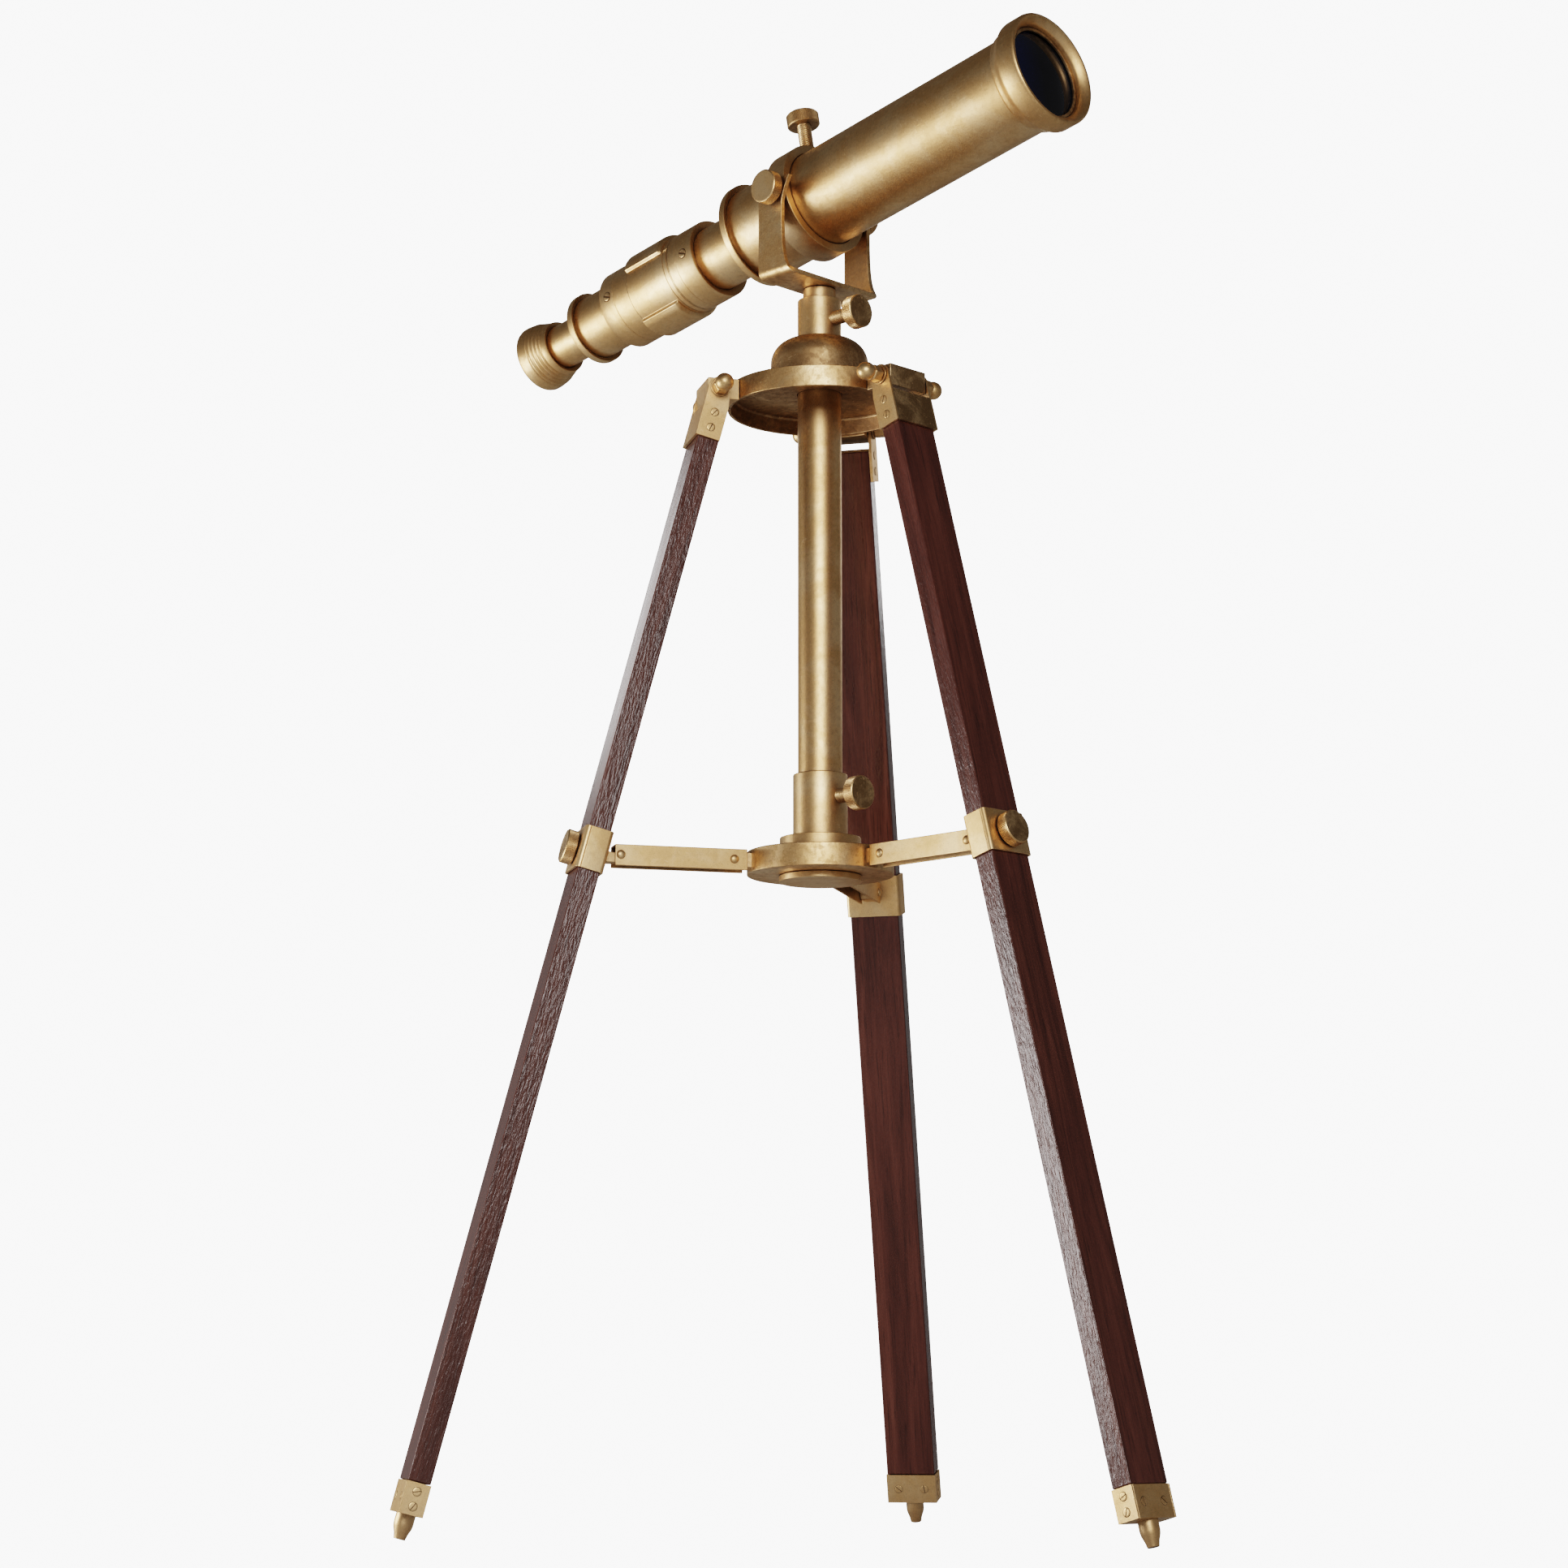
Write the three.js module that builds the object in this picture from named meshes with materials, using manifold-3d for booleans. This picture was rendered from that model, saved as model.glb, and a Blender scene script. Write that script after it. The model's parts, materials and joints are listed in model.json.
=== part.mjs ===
// Brass telescope on a folding wooden tripod. Millimetres, +Z up, floor at z = 0.
// The origin is the floor point under the centre post, and leg a stands towards +X.
import * as THREE from "three";
import { mergeVertices } from "three/addons/utils/BufferGeometryUtils.js";
import Module from "manifold-3d";

const wasm = await Module();
wasm.setup();

// ---- Driving dimensions ----

const GAP = 0.3; // between two pieces that touch
const SEGMENTS_LARGE = 32; // facets round the tubes and discs
const SEGMENTS_MEDIUM = 24; // facets round the post and the smaller tubes
const SEGMENTS_SMALL = 16; // facets round the thumbscrews
const SEGMENTS_TINY = 12; // facets round pins, bores and screws

// Tripod head
const PLATE_RADIUS = 60;
const PLATE_TOP = 732.3;
const PLATE_BOTTOM = 718.5;
const PLATE_WALL = 2.2;
const DOME_RADIUS = 31.9;
const DOME_HEIGHT = 33.5;
const DOME_SHOULDER = 16;

// Centre post, with a socket bored into its top for the yoke's spigot
const POST_RADIUS = 14.28;
const POST_TOP = 793;
const POST_BOTTOM = 412.2;
const SPIGOT_RADIUS = 10.7;
const SPIGOT_BOTTOM = 762;

// Spreader hub
const HUB_RADIUS = 47;
const HUB_TOP = 426.9;
const HUB_BOTTOM = 412.1;
const HUB_FLANGE_RADIUS = 26;
const HUB_FLANGE_TOP = 436.3;
const HUB_CAP_RADIUS = 26.5;
const HUB_CAP_BOTTOM = 407.8;
const SOCKET_RADIUS = 17.5;
const SOCKET_TOP = 477.4;

// Legs: a leg's own frame has its origin on the hinge pin, +X out of the leg's
// outer face, +Y along the pin and -Z down the leg
const LEG_NAMES = ["a", "b", "c"];
const LEG_SPLAY = THREE.MathUtils.degToRad(14.92);
const PIN_ORBIT = 71.7;
const PIN_HEIGHT = 724;
const PIN_RADIUS = 3;
const LEG_HALF_WIDTH = 16.6;
const LEG_OUTER = 5.1;
const LEG_INNER = -9.1;
const LEG_TOP = -14;
const CAP_TOP = -713.2;
const CAP_BOTTOM = -732.6;
const SPIKE_AXIS = -2;
const SPIKE_TIP_RADIUS = 3.5;

// Hinge hardware
const BLOCK_OUTER = 79;
const BLOCK_HALF_WIDTH = 16.3;
const BLOCK_TOP = 731.2;
const BLOCK_BOTTOM = 717.3;
const BRACKET_SHEET = 1.9;
const BRACKET_BOTTOM = -34.5;
const COVER_TOP = -12;
const EYE_RADIUS = 7.2;
const ACORN_CENTRE = 31.2;
const ACORN_RADIUS = 5.3;

// Leg clamps and spreader arms
const CLAMP_CENTRE = -313.4;
const CLAMP_HEIGHT = 27.4;
const CLAMP_WALL = 1.6;
const ARM_INNER_PIVOT = 58.3; // distance of the hub pivot from the post axis
const ARM_OUTER_PIVOT = 131.6; // distance of the clamp pivot from the post axis
const ARM_HEIGHT = 419.6;
const ARM_TOP = 426.2;
const ARM_BOTTOM = 412.7;
const ARM_HALF_WIDTH = 7;
const ARM_SHEET = 1.4;
const ARM_OVERHANG = 3.6;
const LUG_HALF_WIDTH = 5.2;
const LUG_RADIUS = 4.8;
const RIVET_RADIUS = 1.5;
const CLAMP_LUG_PLAY = 1.9; // looseness of a clamp's eye on its rivet

// Thumbscrews
const HEAD_RADIUS = 10.9;
const HEAD_THICKNESS = 8;
const SHANK_RADIUS = 4.8;
const AZIMUTH_SCREW_HEIGHT = 778.5;
const LOWER_SCREW_HEIGHT = 461.7;
const SCREW_FACE = 38; // distance of a post thumbscrew's face from the post axis

// Yoke
const YOKE_TURN = THREE.MathUtils.degToRad(0.9);
const YOKE_SHEET = 3.4;
const YOKE_OUTER = 42.6; // half the width over the arms
const YOKE_BEND = 5;
const YOKE_HALF_DEPTH = 14.3;
const YOKE_BOTTOM = 800.9;
const YOKE_TOP = 866.8;
const TRUNNION_HEIGHT = 859.2;
const TRUNNION_RADIUS = 3.4;
const TRUNNION_KNOB_FACE = 53.6;
const TRUNNION_NUT_RADIUS = 9.2;
const TRUNNION_NUT_FACE = 48.8;

// Telescope: its own frame has +Z along the optical axis towards the object
// glass, with z = 0 over the trunnions
const ELEVATION = THREE.MathUtils.degToRad(10.6);
const AXIS_RISE = 2.9; // optical axis above the trunnion axis
const TUBE_RADIUS = 31.8;
const TUBE_WALL = 1.8;
const TUBE_REAR = -57;
const TUBE_FRONT = 186;
const CRADLE_RADIUS = 37.9;
const CRADLE_REAR = -13.5;
const CRADLE_FRONT = 5;
const CRADLE_SCREW_AT = -3;
const CELL_RADIUS = 37.8;
const CELL_FRONT = 204.6;
const GLASS_RADIUS = 30;
const DRAW_1_RADIUS = 21.95;
const DRAW_1_FRONT = -26;
const DRAW_1_REAR = -219.8;
const DRAW_2_RADIUS = 15.2;
const DRAW_2_FRONT = -199;
const DRAW_2_REAR = -258;
const DRAW_WALL = 1.6;
const EYEPIECE_FRONT = -251.8;
const EYEPIECE_REAR = -277;
const SLEEVE_RADIUS = 27.45;
const SLEEVE_FRONT = -94.2;
const SLEEVE_REAR = -186.3;
const GRIP_FRONT = -117;
const GRIP_REAR = -158;
const LAND_RADIUS = 30.5;
const LAND_FRONT = -123.5;
const LAND_CENTRE = THREE.MathUtils.degToRad(107);
const LAND_HALF_ANGLE = THREE.MathUtils.degToRad(52.5);
const LAND_COUNT = 2;
const SLEEVE_SCREW_RADIUS = 3;
const SLEEVE_SCREWS_AT = { front: -102.5, rear: -177.7 };

// ---- Materials ----

function agedBrass(colour = 0xa98552) {
  return new THREE.MeshStandardMaterial({ color: colour, roughness: 0.36, metalness: 1 });
}

function mahogany() {
  return new THREE.MeshStandardMaterial({ color: 0x3d1f1b, roughness: 0.35, metalness: 0 });
}

function glass() {
  return new THREE.MeshStandardMaterial({ color: 0x0b0e18, roughness: 0.05, metalness: 0 });
}

// ---- Solids ----

function solidOf(geometry) {
  const bare = geometry.index ? geometry.toNonIndexed() : geometry.clone();
  bare.deleteAttribute("normal");
  bare.deleteAttribute("uv");
  const merged = mergeVertices(bare, 1e-4);
  return new wasm.Manifold(
    new wasm.Mesh({
      numProp: 3,
      vertProperties: merged.attributes.position.array,
      triVerts: new Uint32Array(merged.index.array),
    }),
  );
}

function geometryOf(solid) {
  const mesh = solid.getMesh();
  const geometry = new THREE.BufferGeometry();
  geometry.setAttribute("position", new THREE.BufferAttribute(mesh.vertProperties, 3));
  geometry.setIndex(new THREE.BufferAttribute(mesh.triVerts, 1));
  const flat = geometry.toNonIndexed();
  flat.computeVertexNormals();
  return flat;
}

function cutBy(body, ...tools) {
  return geometryOf(tools.reduce((left, tool) => left.subtract(solidOf(tool)), solidOf(body)));
}

function joined(body, ...others) {
  return geometryOf(others.reduce((sum, other) => sum.add(solidOf(other)), solidOf(body)));
}

function common(body, other) {
  return geometryOf(solidOf(body).intersect(solidOf(other)));
}

// A solid of revolution about Z. The profile is [radius, z] pairs that run up the
// outside; one that leaves the axis open is closed on itself to make a ring.
function turned(profile, segments = SEGMENTS_LARGE) {
  const points = profile.map(([radius, z]) => new THREE.Vector2(radius, z));
  const onAxis = profile[0][0] === 0;
  if (!onAxis) {
    points.push(points[0].clone());
  }
  return new THREE.LatheGeometry(points, segments).rotateX(Math.PI / 2);
}

function tube(inner, outer, bottom, top, segments = SEGMENTS_LARGE) {
  const profile = [[inner, bottom], [outer, bottom], [outer, top], [inner, top]];
  return turned(profile, segments);
}

function rod(radius, bottom, top, segments = SEGMENTS_TINY) {
  return turned([[0, bottom], [radius, bottom], [radius, top], [0, top]], segments);
}

// A rod along +X or +Y instead of +Z, through a point of the piece's frame.
function rodAlongX(radius, from, to, y, z, segments = SEGMENTS_TINY) {
  return rod(radius, from, to, segments).rotateY(Math.PI / 2).translate(0, y, z);
}

function rodAlongY(radius, from, to, x, z, segments = SEGMENTS_TINY) {
  return rod(radius, from, to, segments).rotateX(-Math.PI / 2).translate(x, 0, z);
}

function box(x0, x1, y0, y1, z0, z1) {
  const geometry = new THREE.BoxGeometry(x1 - x0, y1 - y0, z1 - z0);
  return geometry.translate((x0 + x1) / 2, (y0 + y1) / 2, (z0 + z1) / 2);
}

// An outline in the XZ plane, given thickness along Y from y0 to y1.
function extrudedAlongY(shape, y0, y1, curveSegments = 6) {
  const settings = { depth: y1 - y0, bevelEnabled: false, curveSegments };
  const geometry = new THREE.ExtrudeGeometry(shape, settings);
  return geometry.rotateX(Math.PI / 2).translate(0, y1, 0);
}

// An outline in the YZ plane, given thickness along X from x0 to x1.
function extrudedAlongX(shape, x0, x1, curveSegments = 6) {
  const settings = { depth: x1 - x0, bevelEnabled: false, curveSegments };
  const geometry = new THREE.ExtrudeGeometry(shape, settings);
  return geometry.rotateX(Math.PI / 2).rotateZ(Math.PI / 2).translate(x0, 0, 0);
}

function roundedRectangle(x0, x1, y0, y1, corner) {
  const shape = new THREE.Shape();
  shape.moveTo(x0 + corner, y0);
  shape.lineTo(x1 - corner, y0);
  shape.absarc(x1 - corner, y0 + corner, corner, -Math.PI / 2, 0);
  shape.lineTo(x1, y1 - corner);
  shape.absarc(x1 - corner, y1 - corner, corner, 0, Math.PI / 2);
  shape.lineTo(x0 + corner, y1);
  shape.absarc(x0 + corner, y1 - corner, corner, Math.PI / 2, Math.PI);
  shape.lineTo(x0, y0 + corner);
  shape.absarc(x0 + corner, y0 + corner, corner, Math.PI, Math.PI * 1.5);
  return shape;
}

function named(name, geometry, material = agedBrass()) {
  const mesh = new THREE.Mesh(geometry, material);
  mesh.name = name;
  return mesh;
}

// ---- Thumbscrews ----

// Stands on its tip at z = 0 with the head on top, its face at z = length.
function thumbscrew(length, shankRadius = SHANK_RADIUS, thickness = HEAD_THICKNESS) {
  const chamfer = 0.8;
  const seat = length - thickness;
  return turned(
    [
      [0, 0],
      [shankRadius, 0],
      [shankRadius, seat],
      [HEAD_RADIUS - chamfer, seat],
      [HEAD_RADIUS, seat + chamfer],
      [HEAD_RADIUS, length - chamfer],
      [HEAD_RADIUS - chamfer, length],
      [0, length],
    ],
    SEGMENTS_SMALL,
  );
}

// A thumbscrew that points along +X from its tip at distance tip to its face.
function postThumbscrew(name, tip, height) {
  const screw = named(name, thumbscrew(SCREW_FACE - tip));
  screw.rotation.y = Math.PI / 2;
  screw.position.set(tip, 0, height);
  return screw;
}

// ---- Tripod head and post ----

function topPlate() {
  const underside = PLATE_TOP - 3;
  return turned([
    [POST_RADIUS + GAP, underside],
    [PLATE_RADIUS - PLATE_WALL, underside],
    [PLATE_RADIUS - PLATE_WALL, PLATE_BOTTOM],
    [PLATE_RADIUS, PLATE_BOTTOM],
    [PLATE_RADIUS, PLATE_TOP - 0.6],
    [PLATE_RADIUS - 0.6, PLATE_TOP],
    [POST_RADIUS + GAP, PLATE_TOP],
  ]);
}

function domeCollar() {
  const base = PLATE_TOP + GAP;
  const shoulderBase = PLATE_TOP + DOME_HEIGHT - DOME_SHOULDER;
  const profile = [
    [POST_RADIUS + GAP, base],
    [DOME_RADIUS, base],
  ];
  const steps = 5;
  for (let i = 0; i <= steps; i++) {
    const angle = ((Math.PI / 2) * i) / steps;
    profile.push([
      DOME_RADIUS - DOME_SHOULDER * (1 - Math.cos(angle)),
      shoulderBase + DOME_SHOULDER * Math.sin(angle),
    ]);
  }
  profile.push([POST_RADIUS + GAP, PLATE_TOP + DOME_HEIGHT]);
  return turned(profile, SEGMENTS_MEDIUM + 4);
}

function centrePost() {
  const boreRadius = SPIGOT_RADIUS + GAP;
  const boreBottom = SPIGOT_BOTTOM - 1;
  const post = turned(
    [
      [0, POST_BOTTOM],
      [POST_RADIUS, POST_BOTTOM],
      [POST_RADIUS, POST_TOP - 0.5],
      [POST_RADIUS - 0.5, POST_TOP],
      [boreRadius, POST_TOP],
      [boreRadius, boreBottom],
      [0, boreBottom],
    ],
    SEGMENTS_MEDIUM,
  );
  const screwHole = rodAlongX(SHANK_RADIUS + GAP, 5, 20, 0, AZIMUTH_SCREW_HEIGHT);
  return cutBy(post, screwHole);
}

function lowerSocket() {
  const bore = POST_RADIUS + GAP;
  const bottom = HUB_FLANGE_TOP + GAP;
  const body = turned(
    [
      [bore, bottom],
      [SOCKET_RADIUS, bottom],
      [SOCKET_RADIUS, SOCKET_TOP - 1.2],
      [SOCKET_RADIUS - 1.2, SOCKET_TOP],
      [bore, SOCKET_TOP],
    ],
    SEGMENTS_MEDIUM,
  );
  const screwHole = rodAlongX(SHANK_RADIUS + GAP, 8, 25, 0, LOWER_SCREW_HEIGHT);
  return cutBy(body, screwHole);
}

function hubDisc() {
  const disc = turned([
    [POST_RADIUS + GAP, HUB_BOTTOM],
    [HUB_RADIUS - 0.6, HUB_BOTTOM],
    [HUB_RADIUS, HUB_BOTTOM + 0.6],
    [HUB_RADIUS, HUB_TOP - 0.6],
    [HUB_RADIUS - 0.6, HUB_TOP],
    [POST_RADIUS + GAP, HUB_TOP],
  ]);
  const stem = { from: HUB_RADIUS - 3, to: ARM_INNER_PIVOT, below: LUG_RADIUS, above: LUG_RADIUS };
  const lugs = LEG_NAMES.map((_, i) =>
    lug(ARM_INNER_PIVOT, ARM_HEIGHT, stem, GAP).rotateZ(legAzimuth(i)),
  );
  return joined(disc, ...lugs);
}

// A round eye about a pivot with a stem that ties it to its piece, bored for a rivet
// with some play all round. The stem runs from stem.from to stem.to, below and above
// the height of the pivot.
function lug(pivot, height, stem, play) {
  const eye = rodAlongY(LUG_RADIUS, -LUG_HALF_WIDTH, LUG_HALF_WIDTH, pivot, height);
  const tie = box(
    stem.from,
    stem.to,
    -LUG_HALF_WIDTH,
    LUG_HALF_WIDTH,
    height - stem.below,
    height + stem.above,
  );
  const bore = rodAlongY(RIVET_RADIUS + play, -20, 20, pivot, height, 16);
  return cutBy(joined(eye, tie), bore);
}

function buildHead() {
  const head = new THREE.Group();
  head.add(named("top_plate", topPlate()));
  head.add(named("dome_collar", domeCollar()));
  return head;
}

function buildHub() {
  const hub = new THREE.Group();
  const bore = POST_RADIUS + GAP;
  hub.add(named("hub", hubDisc()));
  hub.add(named("hub_flange", tube(bore, HUB_FLANGE_RADIUS, HUB_TOP + GAP, HUB_FLANGE_TOP)));
  hub.add(named("hub_cap", rod(HUB_CAP_RADIUS, HUB_CAP_BOTTOM, HUB_BOTTOM - GAP, SEGMENTS_LARGE)));
  hub.add(named("lower_socket", lowerSocket()));
  hub.add(postThumbscrew("lower_thumbscrew", POST_RADIUS + GAP, LOWER_SCREW_HEIGHT));
  return hub;
}

function buildPost() {
  const post = new THREE.Group();
  post.add(named("centre_post", centrePost()));
  post.add(postThumbscrew("azimuth_thumbscrew", SPIGOT_RADIUS + GAP, AZIMUTH_SCREW_HEIGHT));
  return post;
}

// ---- Legs ----

function legAzimuth(index) {
  return (index * 2 * Math.PI) / LEG_NAMES.length;
}

// The knuckle block on the plate's rim, curved to the rim and bored for the pin.
function hingeBlock() {
  const body = box(
    PLATE_RADIUS - 8,
    BLOCK_OUTER,
    -BLOCK_HALF_WIDTH,
    BLOCK_HALF_WIDTH,
    BLOCK_BOTTOM,
    BLOCK_TOP,
  );
  const rim = rod(PLATE_RADIUS + GAP, BLOCK_BOTTOM - 5, BLOCK_TOP + 5, 120);
  const bore = rodAlongY(PIN_RADIUS + GAP, -30, 30, PIN_ORBIT, PIN_HEIGHT);
  return cutBy(body, rim, bore);
}

// A pin along Y with an acorn nut, a hexagon and a ball, at each end.
function hingePin() {
  const hexStart = LEG_HALF_WIDTH + GAP + BRACKET_SHEET + GAP;
  const hexEnd = ACORN_CENTRE - ACORN_RADIUS + 1.6;
  const shaft = rodAlongY(PIN_RADIUS, -hexStart - 1, hexStart + 1, 0, 0);
  const parts = [];
  for (const side of [-1, 1]) {
    const [near, far] = [side * hexStart, side * hexEnd].sort((p, q) => p - q);
    parts.push(rodAlongY(6.6, near, far, 0, 0, 6));
    parts.push(new THREE.SphereGeometry(ACORN_RADIUS, 10, 6).translate(0, side * ACORN_CENTRE, 0));
  }
  return joined(shaft, ...parts);
}

// Two cheeks with round eyes about the pin, joined by a cover over the outer face.
function legBracket() {
  const inside = LEG_HALF_WIDTH + GAP;
  const outside = inside + BRACKET_SHEET;
  const coverInner = LEG_OUTER + GAP;
  const coverOuter = coverInner + 1.6;
  const cheek = new THREE.Shape();
  cheek.moveTo(LEG_INNER, BRACKET_BOTTOM);
  cheek.lineTo(coverOuter, BRACKET_BOTTOM);
  cheek.lineTo(coverOuter, COVER_TOP);
  cheek.lineTo(EYE_RADIUS, -2);
  cheek.absarc(0, 0, EYE_RADIUS, 0, Math.PI, false);
  cheek.lineTo(LEG_INNER, COVER_TOP);
  const cover = box(coverInner, coverOuter, -inside - 0.5, inside + 0.5, BRACKET_BOTTOM, COVER_TOP);
  const left = extrudedAlongY(cheek, inside, outside, 8);
  const right = extrudedAlongY(cheek, -outside, -inside, 8);
  return cutBy(joined(cover, left, right), rodAlongY(PIN_RADIUS + GAP, -30, 30, 0, 0));
}

// A plain square-edged leg with a tenon that goes into the foot cap.
function woodenLeg() {
  const body = box(LEG_INNER, LEG_OUTER, -LEG_HALF_WIDTH, LEG_HALF_WIDTH, CAP_TOP + GAP, LEG_TOP);
  const tenon = box(
    LEG_INNER + 2,
    LEG_OUTER - 2,
    2 - LEG_HALF_WIDTH,
    LEG_HALF_WIDTH - 2,
    CAP_BOTTOM + 3,
    CAP_TOP + 1,
  );
  return joined(body, tenon);
}

function footCap() {
  const proud = 0.5;
  const width = LEG_HALF_WIDTH + proud;
  const body = box(LEG_INNER - proud, LEG_OUTER + proud, -width, width, CAP_BOTTOM, CAP_TOP);
  const pocket = box(
    LEG_INNER + 2 - GAP,
    LEG_OUTER - 2 + GAP,
    2 - GAP - LEG_HALF_WIDTH,
    LEG_HALF_WIDTH - 2 + GAP,
    CAP_BOTTOM + 3 - GAP,
    CAP_TOP + 5,
  );
  return cutBy(body, pocket);
}

// A blunt spike. The lowest point of its tip's rim stands on the floor.
function footSpike() {
  const top = CAP_BOTTOM - GAP;
  const reach = PIN_HEIGHT + (SPIKE_AXIS - SPIKE_TIP_RADIUS) * Math.sin(LEG_SPLAY);
  const tip = -reach / Math.cos(LEG_SPLAY);
  const profile = [[0, tip], [SPIKE_TIP_RADIUS, tip], [6, top], [0, top]];
  return turned(profile, SEGMENTS_SMALL);
}

// A box clamp round the leg, with an ear on its inner face for the spreader arm
// and a hole in its outer face for the knob. The ear's stem is low, so that the top
// of the arm clears it as the arm swings.
function legClamp() {
  const bottom = CLAMP_CENTRE - CLAMP_HEIGHT / 2;
  const top = CLAMP_CENTRE + CLAMP_HEIGHT / 2;
  const pivot = clampPivot();
  const outerX = LEG_OUTER + GAP + CLAMP_WALL;
  const innerX = LEG_INNER - GAP - CLAMP_WALL;
  const halfWidth = LEG_HALF_WIDTH + GAP + CLAMP_WALL;
  const outline = roundedRectangle(innerX, outerX, -halfWidth, halfWidth, 1.6);
  const settings = { depth: CLAMP_HEIGHT, bevelEnabled: false, curveSegments: 2 };
  const shell = new THREE.ExtrudeGeometry(outline, settings).translate(0, 0, bottom);
  const stem = { from: pivot.x, to: innerX + 1, below: 7.5, above: 0.2 };
  const ear = lug(pivot.x, pivot.z, stem, CLAMP_LUG_PLAY);
  const passage = box(
    LEG_INNER - GAP,
    LEG_OUTER + GAP,
    -LEG_HALF_WIDTH - GAP,
    LEG_HALF_WIDTH + GAP,
    bottom - 5,
    top + 5,
  );
  const knobHole = rodAlongX(2.4 + GAP, 0, 12, 0, CLAMP_CENTRE);
  return cutBy(joined(shell, ear), passage, knobHole);
}

// The outer pivot of a spreader arm, seen in the leg's own frame.
function clampPivot() {
  const out = ARM_OUTER_PIVOT - PIN_ORBIT;
  const down = ARM_HEIGHT - PIN_HEIGHT;
  return {
    x: out * Math.cos(LEG_SPLAY) + down * Math.sin(LEG_SPLAY),
    z: -out * Math.sin(LEG_SPLAY) + down * Math.cos(LEG_SPLAY),
  };
}

function clampKnob(name) {
  const tip = LEG_OUTER + GAP;
  const knob = named(name, thumbscrew(15.1 - tip, 2.4, 7));
  knob.rotation.y = Math.PI / 2;
  knob.position.set(tip, 0, CLAMP_CENTRE);
  return knob;
}

// An upside-down channel with a domed rivet through each end.
function spreaderArm() {
  const start = ARM_INNER_PIVOT - ARM_OVERHANG - 1.6;
  const end = ARM_OUTER_PIVOT + ARM_OVERHANG;
  const side = roundedRectangle(start, end, ARM_BOTTOM, ARM_TOP, 1.5);
  const body = extrudedAlongY(side, -ARM_HALF_WIDTH, ARM_HALF_WIDTH, 2);
  const inside = ARM_HALF_WIDTH - ARM_SHEET;
  const hollow = box(start - 5, end + 5, -inside, inside, ARM_BOTTOM - 5, ARM_TOP - ARM_SHEET);
  const rivets = [ARM_INNER_PIVOT, ARM_OUTER_PIVOT].map((x) =>
    rivet().translate(x, 0, ARM_HEIGHT),
  );
  return joined(cutBy(body, hollow), ...rivets);
}

function rivet() {
  const seat = ARM_HALF_WIDTH - 0.5;
  const rise = 2.4;
  const headRadius = 3.4;
  const profile = [
    [0, -seat - rise],
    [headRadius, -seat],
    [RIVET_RADIUS, -seat],
    [RIVET_RADIUS, seat],
    [headRadius, seat],
    [0, seat + rise],
  ];
  return turned(profile, 8).rotateX(-Math.PI / 2);
}

function buildLeg(index) {
  const name = LEG_NAMES[index];
  const sector = new THREE.Group();
  sector.rotation.z = legAzimuth(index);
  sector.add(named(`hinge_block_${name}`, hingeBlock()));
  sector.add(named(`spreader_arm_${name}`, spreaderArm()));

  const pin = named(`hinge_pin_${name}`, hingePin());
  pin.position.set(PIN_ORBIT, 0, PIN_HEIGHT);
  sector.add(pin);

  const leg = new THREE.Group();
  leg.position.set(PIN_ORBIT, 0, PIN_HEIGHT);
  leg.rotation.y = -LEG_SPLAY;
  leg.add(named(`leg_bracket_${name}`, legBracket()));
  leg.add(named(`leg_${name}`, woodenLeg(), mahogany()));
  leg.add(named(`foot_cap_${name}`, footCap()));
  const spike = named(`foot_spike_${name}`, footSpike());
  spike.position.x = SPIKE_AXIS;
  leg.add(spike);
  leg.add(named(`leg_clamp_${name}`, legClamp()));
  leg.add(clampKnob(`clamp_knob_${name}`));
  sector.add(leg);
  return sector;
}

// ---- Yoke ----

// A strip bent into a U, whose arms are hollowed along their front edge.
function yokeStrip() {
  const across = new THREE.Shape();
  const [outer, inner] = [YOKE_OUTER, YOKE_OUTER - YOKE_SHEET];
  const innerBend = YOKE_BEND - YOKE_SHEET;
  across.moveTo(outer, YOKE_TOP);
  across.lineTo(inner, YOKE_TOP);
  across.lineTo(inner, YOKE_BOTTOM + YOKE_BEND);
  across.absarc(inner - innerBend, YOKE_BOTTOM + YOKE_BEND, innerBend, 0, -Math.PI / 2, true);
  across.lineTo(innerBend - inner, YOKE_BOTTOM + YOKE_SHEET);
  const leftCentre = innerBend - inner;
  const down = -Math.PI / 2;
  across.absarc(leftCentre, YOKE_BOTTOM + YOKE_BEND, innerBend, down, -Math.PI, true);
  across.lineTo(-inner, YOKE_TOP);
  across.lineTo(-outer, YOKE_TOP);
  across.lineTo(-outer, YOKE_BOTTOM + YOKE_BEND);
  across.absarc(YOKE_BEND - outer, YOKE_BOTTOM + YOKE_BEND, YOKE_BEND, -Math.PI, down, false);
  across.lineTo(outer - YOKE_BEND, YOKE_BOTTOM);
  across.absarc(outer - YOKE_BEND, YOKE_BOTTOM + YOKE_BEND, YOKE_BEND, down, 0, false);

  const front = YOKE_HALF_DEPTH;
  const side = new THREE.Shape();
  side.moveTo(-front, YOKE_BOTTOM - 1);
  side.lineTo(front, YOKE_BOTTOM - 1);
  side.lineTo(front, YOKE_BOTTOM + YOKE_SHEET);
  side.bezierCurveTo(6.2, 806, 6.4, 832, 6.3, 849);
  side.quadraticCurveTo(7.2, 857, front - 0.5, YOKE_TOP + 1);
  side.lineTo(-front, YOKE_TOP + 1);

  const strip = common(
    extrudedAlongX(across, -front - 1, front + 1, 4),
    extrudedAlongY(side, -YOKE_OUTER - 1, YOKE_OUTER + 1, 6),
  );
  return cutBy(strip, rodAlongY(TRUNNION_RADIUS + GAP, -60, 60, 0, TRUNNION_HEIGHT));
}

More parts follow.
